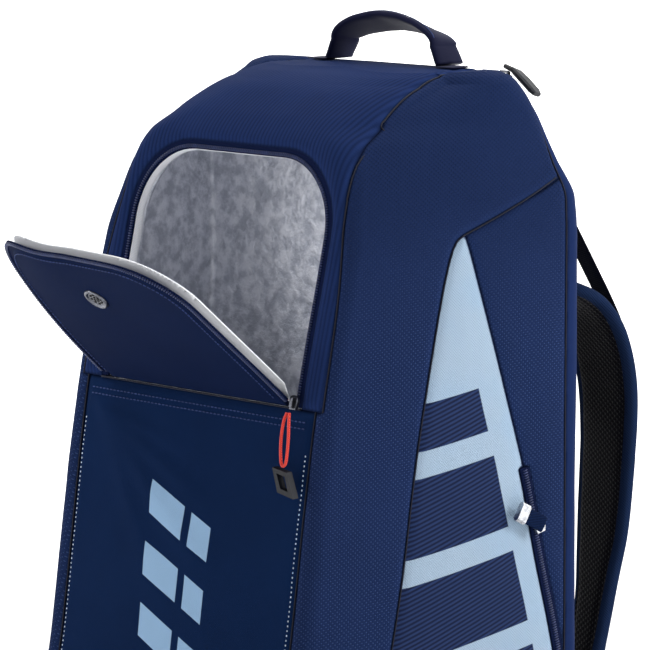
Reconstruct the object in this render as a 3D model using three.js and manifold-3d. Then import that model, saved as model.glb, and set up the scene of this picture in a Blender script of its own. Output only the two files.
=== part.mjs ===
// Racket backpack, in millimetres, +Z up. The origin is the centre of the base, -Y is the front and the
// shoulder straps are on +Y. The shoe flap is modelled part open.
import * as THREE from "three";
import { mergeVertices } from "three/addons/utils/BufferGeometryUtils.js";
import Module from "manifold-3d";

const wasm = await Module();
wasm.setup();

// Driving dimensions
const HEIGHT = 521;
const PANEL = 5; // thickness of the padded outer fabric
const LINING = 2; // thickness of a lining
const GAP = 0.3; // clearance between neighbouring pieces
const SEAM_Z = 318; // height of the shoe flap's hinge seam
const BASE_Z = 16; // top edge of the base panel
const BACK_SEAM_Y = 90; // seam between the roof and the smooth back gusset
const FACE_LEAN = 13.4; // the front above the hinge seam leans back by this angle, in degrees
const FLAP_REST = 45.5; // the flap's rest angle from vertical, leaning outward, in degrees
const ARCH = { half: 94, rise: 163, corner: 50 }; // the shoe opening, measured along the leaning face
const TAPE = 5.5; // width of one side of a zip
const FLAP_HALF = ARCH.half - TAPE - GAP; // half-width of the flap with its own zip tape
const POCKET_HALF = 107;
const FRONT_AT_SEAM = -100; // Y of the front face at the hinge seam

// Body sections from the base to the roof: front and back Y, front and back half-width, corner radii
const LEVELS = [
  { z: 0, front: -140, back: 96, narrow: 110, wide: 140, frontR: 14, backR: 14 },
  { z: 6, front: -146, back: 103, narrow: 117, wide: 147, frontR: 14, backR: 14 },
  { z: BASE_Z, front: -149, back: 107, narrow: 122, wide: 152, frontR: 14, backR: 14 },
  { z: 150, front: -126, back: 107, narrow: 123, wide: 152, frontR: 12, backR: 14 },
  { z: SEAM_Z, front: FRONT_AT_SEAM, back: 107, narrow: 122, wide: 151, frontR: 12, backR: 14 },
  { z: 410, front: -78, back: 107, narrow: 119, wide: 151, frontR: 13, backR: 14 },
  { z: 440, front: -71, back: 106, narrow: 113, wide: 150, frontR: 15, backR: 15 },
  { z: 464, front: -65.5, back: 102, narrow: 107, wide: 139, frontR: 18, backR: 17 },
  { z: 480, front: -60, back: 99, narrow: 101, wide: 133, frontR: 24, backR: 19 },
  { z: 493, front: -49, back: 97, narrow: 94, wide: 128, frontR: 36, backR: 20 },
  { z: 504, front: -33, back: 95, narrow: 95, wide: 123, frontR: 50, backR: 22 },
  { z: 512, front: -17, back: 93, narrow: 94, wide: 118, frontR: 60, backR: 24 },
  { z: 518, front: 8, back: 91, narrow: 88, wide: 113, frontR: 66, backR: 26 },
  { z: HEIGHT, front: 40, back: 86, narrow: 76, wide: 105, frontR: 40, backR: 26 },
];
const SIDE_BULGE = 5;

// Seam lines. RIB_SEAM is the edge of the ribbed centre panel seen from above, right side, back to front.
const RIB_SEAM = [[73, 91], [82, 30], [92, -21], [99, -51], [103, -69], [113, -96], [113, -170]];
// The light insert's corners seen from the side, as [Y, Z]
const INSERT_TOP = [5, 419];
const INSERT_FRONT = [-54, 165];
const INSERT_FOOT = [-92, BASE_Z];
const INSERT_REAR = [56, 258];
const INSERT_HEEL = [BACK_SEAM_Y, 116];
const UPPER_SEAM_END = [BACK_SEAM_Y, 454];
const SIDE_ZIP = { top: 268, bottom: 137, half: 4 }; // heights of the side zip's ends, and its half-width

const material = (color, roughness = 0.85, metalness = 0) =>
  new THREE.MeshStandardMaterial({ color, roughness, metalness });
const MATERIAL = {
  ribbed: material(0x22335f),
  dimpled: material(0x26396a),
  twill: material(0x152f5c),
  smooth: material(0x1c2b52, 0.7),
  light: material(0xa9c9e4, 0.7),
  dark: material(0x10131c),
  lining: material(0x9a9da8, 0.6),
  white: material(0xdfe3ea),
  zip: material(0x18233f, 0.6),
  gunmetal: material(0x3a3c44, 0.35, 0.9),
  silver: material(0xb4b7bd, 0.3, 0.95),
  red: material(0xc8262f, 0.8),
  rubber: material(0x14161d, 0.6),
  webbing: material(0x14264a),
  sheet: material(0x303236, 0.6),
};

const bag = new THREE.Group();
const radians = THREE.MathUtils.degToRad;

// Solids
function toSolid(geometry) {
  const bare = geometry.clone();
  for (const name of Object.keys(bare.attributes)) {
    if (name !== "position") bare.deleteAttribute(name);
  }
  const merged = mergeVertices(bare, 1e-4);
  return new wasm.Manifold(new wasm.Mesh({
    numProp: 3,
    vertProperties: merged.attributes.position.array,
    triVerts: new Uint32Array(merged.index.array),
  }));
}

function toGeometry(solid) {
  const mesh = solid.getMesh();
  const geometry = new THREE.BufferGeometry();
  geometry.setAttribute("position", new THREE.BufferAttribute(mesh.vertProperties, 3));
  geometry.setIndex(new THREE.BufferAttribute(mesh.triVerts, 1));
  return geometry;
}

function piece(name, shape, look, parent = bag) {
  const geometry = shape.isBufferGeometry ? shape : toGeometry(shape);
  const mesh = new THREE.Mesh(geometry, look);
  mesh.name = name;
  parent.add(mesh);
  return mesh;
}

// A closed skin over rings of equally many points, with a cap at each end
function skin(rings) {
  const count = rings[0].length;
  const points = rings.flat();
  const index = [];
  for (let ring = 0; ring + 1 < rings.length; ring++) {
    for (let i = 0; i < count; i++) {
      const a = ring * count + i;
      const b = ring * count + ((i + 1) % count);
      index.push(a, b, b + count, a, b + count, a + count);
    }
  }
  for (const [start, flip] of [[0, true], [(rings.length - 1) * count, false]]) {
    const centre = points.length;
    const sum = new THREE.Vector3();
    for (let i = 0; i < count; i++) sum.add(points[start + i]);
    points.push(sum.divideScalar(count));
    for (let i = 0; i < count; i++) {
      const pair = [start + i, start + ((i + 1) % count)];
      index.push(...(flip ? pair.reverse() : pair), centre);
    }
  }
  const geometry = new THREE.BufferGeometry().setFromPoints(points);
  geometry.setIndex(index);
  return geometry;
}

// The body's outline at one level, pulled in by inset, anticlockwise seen from above
function section(level, inset, height) {
  const front = level.front + inset;
  const back = level.back - inset;
  const narrow = level.narrow - inset;
  const wide = level.wide - inset;
  const frontR = Math.max(level.frontR - inset, 3);
  const backR = Math.max(level.backR - inset, 3);
  const slant = Math.atan2(wide - narrow, back - front);
  const right = [[0, front], [(narrow - frontR) / 2, front]];
  const corner = (cx, cy, radius, from, to, steps) => {
    for (let i = 0; i <= steps; i++) {
      const turn = from + ((to - from) * i) / steps;
      right.push([cx + radius * Math.cos(turn), cy + radius * Math.sin(turn)]);
    }
  };
  corner(narrow - frontR, front + frontR, frontR, -Math.PI / 2, -slant, 5);
  const [ax, ay] = right[right.length - 1];
  const bx = wide - backR + backR * Math.cos(slant);
  const by = back - backR - backR * Math.sin(slant);
  for (const t of [0.2, 0.4, 0.6, 0.8]) {
    const bulge = SIDE_BULGE * 4 * t * (1 - t);
    right.push([ax + (bx - ax) * t + bulge * Math.cos(slant), ay + (by - ay) * t - bulge * Math.sin(slant)]);
  }
  corner(wide - backR, back - backR, backR, -slant, Math.PI / 2, 5);
  right.push([(wide - backR) / 2, back], [0, back]);
  const left = right.slice(1, -1).reverse().map(([x, y]) => [-x, y]);
  return [...right, ...left].map(([x, y]) => new THREE.Vector3(x, y, height));
}

// The whole body as one solid, pulled in by inset on every side
function body(inset) {
  const squeeze = (HEIGHT - 2 * inset) / HEIGHT;
  return toSolid(skin(LEVELS.map((level) => section(level, inset, inset + level.z * squeeze))));
}

// A layer of the body's wall between two insets
const layer = (outer, inner) => body(outer).subtract(body(inner));

const outline = (points) => new THREE.Shape(points.map(([x, y]) => new THREE.Vector2(x, y)));

function prism(shape, depth, place) {
  const geometry = new THREE.ExtrudeGeometry(shape, { depth, bevelEnabled: false, curveSegments: 8 });
  geometry.applyMatrix4(place);
  return toSolid(geometry);
}

const basis = (x, y, z, at) => new THREE.Matrix4().makeBasis(x, y, z).setPosition(at);
const X = new THREE.Vector3(1, 0, 0);
const Y = new THREE.Vector3(0, 1, 0);
const Z = new THREE.Vector3(0, 0, 1);
const at = (x, y, z) => new THREE.Vector3(x, y, z);

// [X, Y] points raised along Z
const prismZ = (points, low, high) => prism(outline(points), high - low, basis(X, Y, Z, at(0, 0, low)));
// [Y, Z] points, extruded along X
const prismX = (points, low, high) => prism(outline(points), high - low, basis(Y, Z, X, at(low, 0, 0)));
// a shape in X and Z, extruded along Y
const prismY = (shape, low, high) =>
  prism(shape, high - low, basis(X, Z, Y.clone().negate(), at(0, high, 0)));

function block(x0, x1, y0, y1, z0, z1) {
  const geometry = new THREE.BoxGeometry(x1 - x0, y1 - y0, z1 - z0);
  geometry.translate((x0 + x1) / 2, (y0 + y1) / 2, (z0 + z1) / 2);
  return toSolid(geometry);
}

// A strip of changing width: each station gives its middle, its half-width, its thickness and, if it isn't X,
// the direction that it is wide in
function strip(stations) {
  const rings = stations.map((station, i) => {
    const before = stations[Math.max(i - 1, 0)].mid;
    const after = stations[Math.min(i + 1, stations.length - 1)].mid;
    const along = after.clone().sub(before).normalize();
    const across = (station.across ?? X).clone();
    across.addScaledVector(along, -across.dot(along)).normalize();
    const out = new THREE.Vector3().crossVectors(along, across);
    const half = station.thick / 2;
    const edge = Math.min(half, station.half / 4);
    const ring = [[-1, -0.4], [-1, 0.4], [-0.75, 1], [0.75, 1], [1, 0.4], [1, -0.4], [0.75, -1], [-0.75, -1]];
    return ring.map(([w, t]) => {
      const width = Math.sign(w) * (Math.abs(w) === 1 ? station.half : station.half - edge);
      return station.mid.clone().addScaledVector(across, width).addScaledVector(out, t * half);
    }).reverse();
  });
  return skin(rings);
}

// The arched outline of the shoe opening in its own face, from the hinge seam up
function archShape(half, rise, corner, foot = 0) {
  const shape = new THREE.Shape();
  shape.moveTo(-half, foot);
  shape.lineTo(half, foot);
  shape.lineTo(half, rise - corner);
  shape.absarc(half - corner, rise - corner, corner, 0, Math.PI / 2);
  shape.absarc(corner - half, rise - corner, corner, Math.PI / 2, Math.PI);
  shape.closePath();
  return shape;
}

// An arch prism that runs along Y, so the leaning face's rise becomes a height
function archPrism(inset, foot = 0) {
  const fall = Math.cos(radians(FACE_LEAN));
  const shape = archShape(ARCH.half - inset, ARCH.rise * fall - inset, ARCH.corner - inset * 0.6, foot);
  return prismY(shape, -170, 20).translate(0, 0, SEAM_Z);
}

// Outer panels
const wall = layer(0, PANEL);
const mirrored = (points) => [...points, ...points.map(([x, y]) => [-x, y]).reverse()];
const grown = (points, by) => points.map(([x, y]) => [x + by, y]);
const centre = (by = 0) => prismZ(mirrored(grown(RIB_SEAM, by)), -10, HEIGHT + 20);
const behind = (y) => block(-200, 200, y, 200, -10, HEIGHT + 20);
const ahead = (y) => block(-200, 200, -200, y, -10, HEIGHT + 20);
const above = (z) => block(-200, 200, -200, 200, z, HEIGHT + 20);
const below = (z) => block(-200, 200, -200, 200, -20, z);

function makeFront() {
  const top = wall.intersect(centre()).intersect(above(SEAM_Z + GAP)).intersect(ahead(BACK_SEAM_Y - GAP));
  piece("center_panel", top.subtract(archPrism(0, -5)), MATERIAL.ribbed);
  const front = block(-POCKET_HALF, POCKET_HALF, -200, -60, BASE_Z + GAP, SEAM_Z - GAP);
  piece("shoe_pocket_panel", wall.intersect(front), MATERIAL.twill);
}

function sideOutlines() {
  const front = [[-170, BASE_Z + GAP], INSERT_FOOT, INSERT_FRONT, INSERT_TOP, UPPER_SEAM_END];
  const upper = [...front, [BACK_SEAM_Y, 540], [-170, 540]];
  const foot = [BACK_SEAM_Y, BASE_Z];
  const insert = [INSERT_FOOT, foot, INSERT_HEEL, INSERT_REAR, INSERT_TOP, INSERT_FRONT];
  const rear = [INSERT_TOP, INSERT_REAR, INSERT_HEEL, UPPER_SEAM_END];
  return { upper, insert, rear };
}

// The side zip's centre line at a height, on the insert's rear edge
function zipY(z) {
  const [from, to] = z > INSERT_REAR[1] ? [INSERT_TOP, INSERT_REAR] : [INSERT_REAR, INSERT_HEEL];
  return from[0] + ((z - from[1]) * (to[0] - from[0])) / (to[1] - from[1]);
}

const zipStrip = (half, top, bottom) => {
  const heights = [top, INSERT_REAR[1], bottom];
  return [...heights.map((z) => [zipY(z) + half, z]), ...heights.reverse().map((z) => [zipY(z) - half, z])];
};

// Shrinks a solid by the seam gap by cutting along its neighbour moved by the gap in Y and Z
function seamGap(neighbour) {
  return neighbour.add(neighbour.translate(0, -GAP, 0)).add(neighbour.translate(0, GAP, 0))
    .add(neighbour.translate(0, 0, GAP)).add(neighbour.translate(0, 0, -GAP));
}

function makeSide(side, tag) {
  const low = side > 0 ? 20 : -200;
  const cut = (points) => prismX(points, low, low + 180);
  const { upper, insert, rear } = sideOutlines();
  const top = SIDE_ZIP.top;
  const tape = cut(zipStrip(SIDE_ZIP.half, top, SIDE_ZIP.bottom));
  const tapeGap = cut(zipStrip(SIDE_ZIP.half + GAP, top + GAP, SIDE_ZIP.bottom - GAP));
  const band = wall.intersect(above(BASE_Z + GAP)).intersect(ahead(BACK_SEAM_Y - GAP)).subtract(tapeGap);
  const pocket = block(-POCKET_HALF - GAP, POCKET_HALF + GAP, -200, -60, 0, SEAM_Z);
  const front = band.subtract(pocket).subtract(centre(GAP).intersect(above(SEAM_Z)));
  piece(`side_panel_front_${tag}`, front.intersect(cut(upper)), MATERIAL.dimpled);
  const insertPrism = cut(insert);
  piece(`side_insert_${tag}`, band.intersect(insertPrism).subtract(seamGap(cut(upper))), MATERIAL.light);
  const rearSolid = band.intersect(cut(rear)).subtract(seamGap(insertPrism)).subtract(seamGap(cut(upper)));
  piece(`side_panel_rear_${tag}`, rearSolid, MATERIAL.dimpled);
  piece(`side_zip_tape_${tag}`, layer(1, 3).intersect(tape), MATERIAL.zip);
}

// Zip sliders: a wedge body with a bridge over it, nose along +Y, track side at Z 0
function slider(scale = 1) {
  const plan = new THREE.Shape();
  plan.moveTo(-3.2, -5.5);
  plan.lineTo(3.2, -5.5);
  plan.lineTo(4.6, 1);
  plan.quadraticCurveTo(4.6, 6, 0, 6);
  plan.quadraticCurveTo(-4.6, 6, -4.6, 1);
  plan.closePath();
  const plate = new THREE.ExtrudeGeometry(plan, { depth: 2.6, bevelEnabled: false, curveSegments: 5 });
  const arch = outline([[-4.5, 2.4], [4.5, 2.4], [3.6, 5.2], [-3.6, 5.2]]);
  arch.holes.push(outline([[-2.6, 3.0], [-2.6, 4.1], [2.6, 4.1], [2.6, 3.0]]));
  const bridge = new THREE.ExtrudeGeometry(arch, { depth: 2.6, bevelEnabled: false });
  bridge.applyMatrix4(basis(Y, Z, X, at(-1.3, 0, 0)));
  return toSolid(plate).add(toSolid(bridge)).scale([scale, scale, scale]);
}

const placed = (solid, x, y, out, where) => {
  const matrix = basis(x, y, out, where);
  return toSolid(toGeometry(solid).applyMatrix4(matrix));
};

// Outward direction and surface point on the side wall at a height and Y
function sideFrame(y, z) {
  const next = LEVELS.findIndex((level) => level.z >= z);
  const [a, b] = [LEVELS[next - 1], LEVELS[next]];
  const t = (z - a.z) / (b.z - a.z);
  const mix = (key) => a[key] + (b[key] - a[key]) * t;
  const slant = Math.atan2(mix("wide") - mix("narrow"), mix("back") - mix("front"));
  const along = (y - mix("front")) / (mix("back") - mix("front"));
  const x = mix("narrow") + (mix("wide") - mix("narrow")) * along + SIDE_BULGE * 4 * along * (1 - along);
  return { x, out: at(Math.cos(slant), -Math.sin(slant), 0) };
}

const SIDE_SLIDER_Z = 230;
const PULL_LENGTH = 19;

function makeSideZip(side, tag) {
  const y = zipY(SIDE_SLIDER_Z);
  const { x, out } = sideFrame(y, SIDE_SLIDER_Z);
  const run = SIDE_SLIDER_Z - SIDE_ZIP.bottom;
  const track = at(0, zipY(SIDE_ZIP.bottom) - y, -run).normalize();
  const nose = track.clone().negate();
  const normal = out.clone().addScaledVector(nose, -out.dot(nose)).normalize();
  const across = new THREE.Vector3().crossVectors(nose, normal);
  const origin = at(x, y, SIDE_SLIDER_Z).addScaledVector(normal, 1.6);
  const flip = side > 0 ? 1 : -1;
  const turned = (vector) => at(vector.x * flip, vector.y, vector.z);
  const keepHand = (vector) => turned(vector).multiplyScalar(flip);
  const sliderSolid = placed(slider(), keepHand(across), turned(nose), turned(normal), turned(origin));
  piece(`side_zip_slider_${tag}`, sliderSolid, MATERIAL.gunmetal);
  const lift = origin.clone().addScaledVector(normal, 8);
  const lean = nose.clone().multiplyScalar(0.66).addScaledVector(across, -0.75).normalize();
  const wide = new THREE.Vector3().crossVectors(lean, normal);
  const stations = (from, to, half, thick) => [from, to].map((distance) => ({
    mid: turned(lift.clone().addScaledVector(lean, distance)), half, thick, across: turned(wide),
  }));
  piece(`side_zip_pull_${tag}`, strip(stations(2, PULL_LENGTH, 5.5, 3)), MATERIAL.webbing);
  piece(`side_zip_tip_${tag}`, strip(stations(PULL_LENGTH + GAP, PULL_LENGTH + 8, 6.5, 4.2)), MATERIAL.silver);
}

// Shoe compartment
function makeShoeZip() {
  const ring = archPrism(GAP, 1).subtract(archPrism(TAPE, -5));
  piece("shoe_zip_tape_body", layer(1, 3).intersect(ring), MATERIAL.zip);
  const inside = layer(PANEL + GAP, PANEL + GAP + LINING);
  const facing = archPrism(-8, 2).subtract(archPrism(TAPE + 2, -8));
  piece("opening_facing", inside.intersect(facing), MATERIAL.white);
}

function makeShoeWell() {
  const outer = body(8).intersect(block(-100, 100, -200, 8, 150, 505));
  const inner = body(8 + LINING).intersect(block(-100 + LINING, 100 - LINING, -200, 8 - LINING, 152, 503));
  const mouth = archPrism(TAPE + 2, 2).intersect(ahead(0));
  piece("shoe_compartment_lining", outer.subtract(inner).subtract(mouth), MATERIAL.lining);
}

// The hinge axis runs just outside the seam, so that the flap can fold right down over the pocket. The flap's
// cloth lies behind and above it by FLAP_SET.
const FLAP_PIVOT = at(0, FRONT_AT_SEAM - 1.5, SEAM_Z);
const FLAP_SET = { behind: 3.6, up: 2.3 };
const flap = new THREE.Group();
flap.position.copy(FLAP_PIVOT);
flap.rotation.x = radians(FLAP_REST);
bag.add(flap);

// The flap's own frame has X across, Z up the flap and -Y out of its face
function flapLayer(shape, front, back) {
  return prism(shape, back - front, basis(X, Z, Y.clone().negate(), at(0, back + FLAP_SET.behind, FLAP_SET.up)));
}

function makeFlap() {
  const foot = 3;
  const half = FLAP_HALF - TAPE;
  const cloth = archShape(half, ARCH.rise - 2 * TAPE - GAP, ARCH.corner - TAPE, foot);
  const outer = -PANEL / 2;
  piece("shoe_flap", flapLayer(cloth, outer, outer + 3.2), MATERIAL.twill, flap);
  const rim = archShape(FLAP_HALF, ARCH.rise - TAPE - GAP, ARCH.corner - 3, foot);
  const hole = flapLayer(archShape(half + GAP, ARCH.rise - 2 * TAPE, ARCH.corner - TAPE, -20), -9, 9);
  piece("shoe_zip_tape_flap", flapLayer(rim, outer + 0.8, outer + 2.8).subtract(hole), MATERIAL.zip, flap);
  const back = archShape(half - 1, ARCH.rise - 2 * TAPE - 1, ARCH.corner - TAPE, foot);
  piece("flap_lining", flapLayer(back, outer + 3.5, outer + 5.2), MATERIAL.white, flap);
  makeEyelet(outer);
}

const EYELET = { x: -6, up: 106, radius: 8.5 };

function makeEyelet(face) {
  const { radius } = EYELET;
  const profile = [[0, 0], [radius, 0], [radius, 0.6], [radius - 1.2, 1.4], [radius - 2.6, 1], [0, 0.9]];
  const disc = new THREE.LatheGeometry(profile.map(([r, h]) => new THREE.Vector2(r, h)), 24);
  disc.rotateX(Math.PI);
  disc.translate(EYELET.x, face - GAP + FLAP_SET.behind, EYELET.up + FLAP_SET.up);
  piece("vent_eyelet", toSolid(disc), MATERIAL.silver, flap);
}

const SHOE_SLIDER = { x: 92.5, z: SEAM_Z + 4 };
const TOGGLE_Z = 274;

function makeShoePull() {
  const lean = radians(FACE_LEAN);
  const up = at(0, Math.sin(lean), Math.cos(lean));
  const out = at(0, -Math.cos(lean), Math.sin(lean));
  const surface = at(SHOE_SLIDER.x, FRONT_AT_SEAM - 1, SHOE_SLIDER.z).addScaledVector(out, 0.8);
  piece("shoe_zip_slider", placed(slider(0.8), X.clone(), up, out, surface), MATERIAL.gunmetal);
  // the cord is one doubled loop: down one side, round inside the toggle and back
  const route = [[92.4, -109, 317], [91.6, -111, 312], [91.2, -112.4, 305], [91.6, -113.8, 297], [93, -115.2, 289],
    [94.6, -116, 285], [96.4, -116.2, 284.2], [98, -115.8, 286.4], [98.2, -114.6, 293], [97.6, -113, 302],
    [96.4, -111.4, 311], [94.8, -109.4, 317]];
  const circle = new THREE.Shape();
  circle.absarc(0, 0, 1, 0, Math.PI * 2);
  const path = new THREE.CatmullRomCurve3(route.map((point) => at(...point)));
  const tube = { steps: 36, bevelEnabled: false, extrudePath: path, curveSegments: 4 };
  piece("shoe_pull_cord", new THREE.ExtrudeGeometry(circle, tube), MATERIAL.red);
  const frame = outline([[88.5, 283], [101, 281], [107, 265], [93, 267.5]]);
  frame.holes.push(outline([[92.2, 279.6], [95.8, 270.2], [102.4, 269], [99.6, 278.4]]));
  const toggle = new THREE.ExtrudeGeometry(frame, { depth: 5, bevelEnabled: false });
  toggle.applyMatrix4(basis(X, Z, Y.clone().negate(), at(0, -113.4, 0)));
  piece("shoe_pull_toggle", toSolid(toggle), MATERIAL.rubber);
}

// Back
const RACKET_ZIP = { edge: 13, width: 7, low: 425 };

// The back's outline in X and Z, pulled in by inset
function arched(inset) {
  const high = LEVELS.filter((level) => level.z >= 410 && level.z <= 493);
  const right = high.map((level) => [level.wide - inset, level.z]);
  const wide = LEVELS[4].wide - inset;
  const points = [[wide, -20], ...right, [118 - inset, 508 - inset], [96 - inset / 2, HEIGHT - inset]];
  return outline([...points, ...points.map(([x, z]) => [-x, z]).reverse()]);
}

function makeBack() {
  const back = wall.intersect(behind(BACK_SEAM_Y + GAP)).intersect(above(BASE_Z + GAP));
  const within = (inset) => prismY(arched(inset), 60, 160);
  const { edge, width, low } = RACKET_ZIP;
  const ring = within(edge).subtract(within(edge + width));
  const moves = [[GAP, 0, 0], [-GAP, 0, 0], [0, 0, GAP], [0, 0, -GAP]];
  const room = moves.reduce((sum, move) => sum.add(ring.translate(move)), ring);
  piece("back_gusset", back.subtract(within(edge)).subtract(room), MATERIAL.smooth);
  const tape = layer(1, 3).intersect(behind(BACK_SEAM_Y + GAP)).intersect(above(low));
  piece("racket_zip_tape", tape.intersect(ring), MATERIAL.zip);
  piece("back_panel", back.intersect(within(edge + width)).subtract(room), MATERIAL.dark);
}

// Racket compartment's slider and rubber pull, at the back's top right corner
function makeRacketZip() {
  const out = at(0, 0.35, 0.94).normalize();
  const back = new THREE.Vector3().crossVectors(X, out);
  const place = at(86, 97, 514.5);
  piece("racket_zip_slider", placed(slider(), back, X.clone(), out, place), MATERIAL.gunmetal);
  const root = place.clone().addScaledVector(out, 7.6).add(at(0, 0.7, 0));
  const reach = [[1, 0, 5, 3], [8, -2, 6.5, 3.4], [15, -7, 6.5, 4], [24, -14, 6, 4], [27, -16.5, 4, 3]];
  const stations = reach.map(([along, drop, half, thick]) => ({
    mid: root.clone().add(at(along, 0, drop)), half, thick, across: back,
  }));
  piece("racket_zip_pull", strip(stations), MATERIAL.rubber);
}

function makeBackTabs(side, tag) {
  const tab = block(-5, 5, 0, 3, 0, 13).translate(side * 131, 107.3, 424);
  piece(`racket_zip_end_tab_${tag}`, tab, MATERIAL.dark);
}

// Top handle: patches sewn to the roof and an arch of webbing that swings above them
const HANDLE = { half: 48, y: 82, width: 14, rise: 17, thick: 3.4 };
const HANDLE_AXIS_Z = HEIGHT + HANDLE.width + GAP;

function makeHandle() {
  const { half, y, width, rise, thick } = HANDLE;
  const handle = [];
  const steps = 12;
  for (let i = 0; i <= steps; i++) {
    const turn = Math.PI * (1 - i / steps);
    const x = Math.sign(Math.cos(turn)) * Math.abs(Math.cos(turn)) ** 0.7 * half;
    handle.push({ mid: at(x, y, HANDLE_AXIS_Z + rise * Math.sin(turn) ** 0.8), half: width - 1, thick, across: Y });
  }
  const foot = new THREE.CylinderGeometry(width - 1, width - 1, thick, 20);
  foot.rotateZ(Math.PI / 2);
  const legs = [half, -half].map((x) => toSolid(foot.clone().translate(x, y, HANDLE_AXIS_Z)));
  const grip = { from: 0.3, to: 0.7 };
  piece("top_handle", toSolid(strip(handle)).add(legs[0]).add(legs[1]), MATERIAL.webbing);
  for (const [side, tag] of [[1, "right"], [-1, "left"]]) {
    const patch = block(-8, 8, -width, 4, 0, 2).translate(side * (half + 12), y, HEIGHT + GAP);
    piece(`handle_anchor_${tag}`, patch, MATERIAL.webbing);
  }
}

// Shoulder straps
const STRAP_TOP = at(96, 111, 374); // where a strap's swing axis leaves the back panel
const STRAP_FOOT = at(138, 112, 34);
const STRAP_THICK = 12;
const STRAP_ROUTE = [
  [96, 124, 375, 16], [98, 138, 373, 26], [101, 156, 362, 29], [106, 171, 338, 30], [109, 179, 302, 30],
  [110, 178, 252, 30], [110, 174, 204, 27], [111, 166, 160, 20], [113, 155, 121, 17],
];
const STRAP_TWIST = at(0.967, -0.254, 0);
const WEBBING_ROUTE = [[115, 148, 102], [118, 144, 92], [125, 135, 68], [132, 124, 48], [136.5, 117, 39]];

function makeStrap(side, tag) {
  const turned = (x, y, z) => at(x * side, y, z);
  const stations = STRAP_ROUTE.map(([x, y, z, half], i) => {
    const twist = Math.min(i / 4, 1);
    const across = X.clone().lerp(STRAP_TWIST, twist).normalize();
    across.x *= side;
    return { mid: turned(x, y, z), half, thick: i === 0 ? STRAP_THICK - 3 : STRAP_THICK, across };
  });
  const cloth = toSolid(handed(strip(stations), side));
  piece(`shoulder_strap_${tag}`, cloth, MATERIAL.smooth);
  const webbing = WEBBING_ROUTE.map((point) => ({ mid: turned(...point), half: 10, thick: 1.8 }));
  piece(`lower_webbing_${tag}`, toSolid(handed(strip(webbing), side)), MATERIAL.webbing);
  const yoke = block(-30, 30, 0, 4, -15, 15).translate(side * STRAP_TOP.x, 107.3, STRAP_TOP.z);
  piece(`strap_yoke_${tag}`, yoke, MATERIAL.dark);
  const wing = prismY(outline([[0, 0], [0, 44], [-24, 8], [-22, 0]].map(([x, z]) => [x * side, z])), 107.3, 111);
  piece(`lower_anchor_${tag}`, wing.translate(side * 146, 0, 18), MATERIAL.webbing);
  const lift = [[108, 111, 456], [111, 134, 420], [115, 158, 384], [118, 174, 360], [119, 186, 336]];
  const lifter = lift.map(([x, y, z]) => ({ mid: turned(x, y, z), half: 10, thick: 1.8 }));
  piece(`load_lifter_${tag}`, toSolid(handed(strip(lifter), side)), MATERIAL.dark);
  makeLadderLock(side, tag);
}

// Turns a mirrored skin's faces back outward
function handed(geometry, side) {
  const volume = signedVolume(geometry);
  if (volume > 0) return geometry;
  const index = Array.from(geometry.index.array);
  for (let i = 0; i < index.length; i += 3) index.splice(i, 3, index[i + 1], index[i], index[i + 2]);
  geometry.setIndex(index);
  return geometry;
}

function signedVolume(geometry) {
  const [a, b, c] = [at(0, 0, 0), at(0, 0, 0), at(0, 0, 0)];
  const positions = geometry.attributes.position;
  let total = 0;
  for (let i = 0; i < geometry.index.count; i += 3) {
    [a, b, c].forEach((corner, k) => corner.fromBufferAttribute(positions, geometry.index.getX(i + k)));
    total += a.dot(b.cross(c));
  }
  return total;
}

function makeLadderLock(side, tag) {
  const frame = outline([[-15, -11], [15, -11], [13.5, 11], [-13.5, 11]]);
  for (const low of [-8, -1.6, 4.8]) {
    frame.holes.push(outline([[-11.5, low], [-11.5, low + 3.2], [11.5, low + 3.2], [11.5, low]]));
  }
  const lock = new THREE.ExtrudeGeometry(frame, { depth: 3.4, bevelEnabled: false });
  lock.applyMatrix4(basis(X, Z, Y.clone().negate(), at(0, 1.7, 0)));
  lock.rotateX(radians(12));
  lock.translate(side * 114, 154, 103.5);
  piece(`ladder_lock_${tag}`, toSolid(lock), MATERIAL.rubber);
}

// Padding on the back, and what is sewn inside
function makeBackPads() {
  const { low, high, inner, outer, depth } = { low: 52, high: 346, inner: 12, outer: 92, depth: 9 };
  const shape = new THREE.Shape();
  const radius = 18;
  shape.absarc(outer - radius, low + radius, radius, -Math.PI / 2, 0);
  shape.absarc(outer - radius, high - radius, radius, 0, Math.PI / 2);
  shape.absarc(inner + radius, high - radius, radius, Math.PI / 2, Math.PI);
  shape.absarc(inner + radius, low + radius, radius, Math.PI, Math.PI * 1.5);
  const pad = prismY(shape, 107.3, 107.3 + depth);
  piece("back_pad_right", pad, MATERIAL.dark);
  piece("back_pad_left", pad.translate(-inner - outer, 0, 0), MATERIAL.dark);
}

function makeInside() {
  const stack = body(8);
  piece("racket_divider", stack.intersect(block(-200, 200, 46, 49, 12, 512)), MATERIAL.lining);
  piece("back_stiffener", stack.intersect(block(-120, 120, 95, 97, 12, 480)), MATERIAL.sheet);
  piece("base_stiffener", body(6).intersect(block(-200, 200, -200, 200, 6, 8)), MATERIAL.sheet);
}

makeFront();
makeSide(1, "right");
makeSide(-1, "left");
makeSideZip(1, "right");
makeSideZip(-1, "left");
makeShoeZip();
makeShoeWell();
makeFlap();
makeShoePull();
makeBack();
makeRacketZip();
makeBackTabs(1, "right");
makeBackTabs(-1, "left");
makeHandle();
makeStrap(1, "right");
makeStrap(-1, "left");
makeBackPads();
makeInside();
piece("base_panel", wall.intersect(below(BASE_Z)), MATERIAL.dark);

export default bag;
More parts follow.
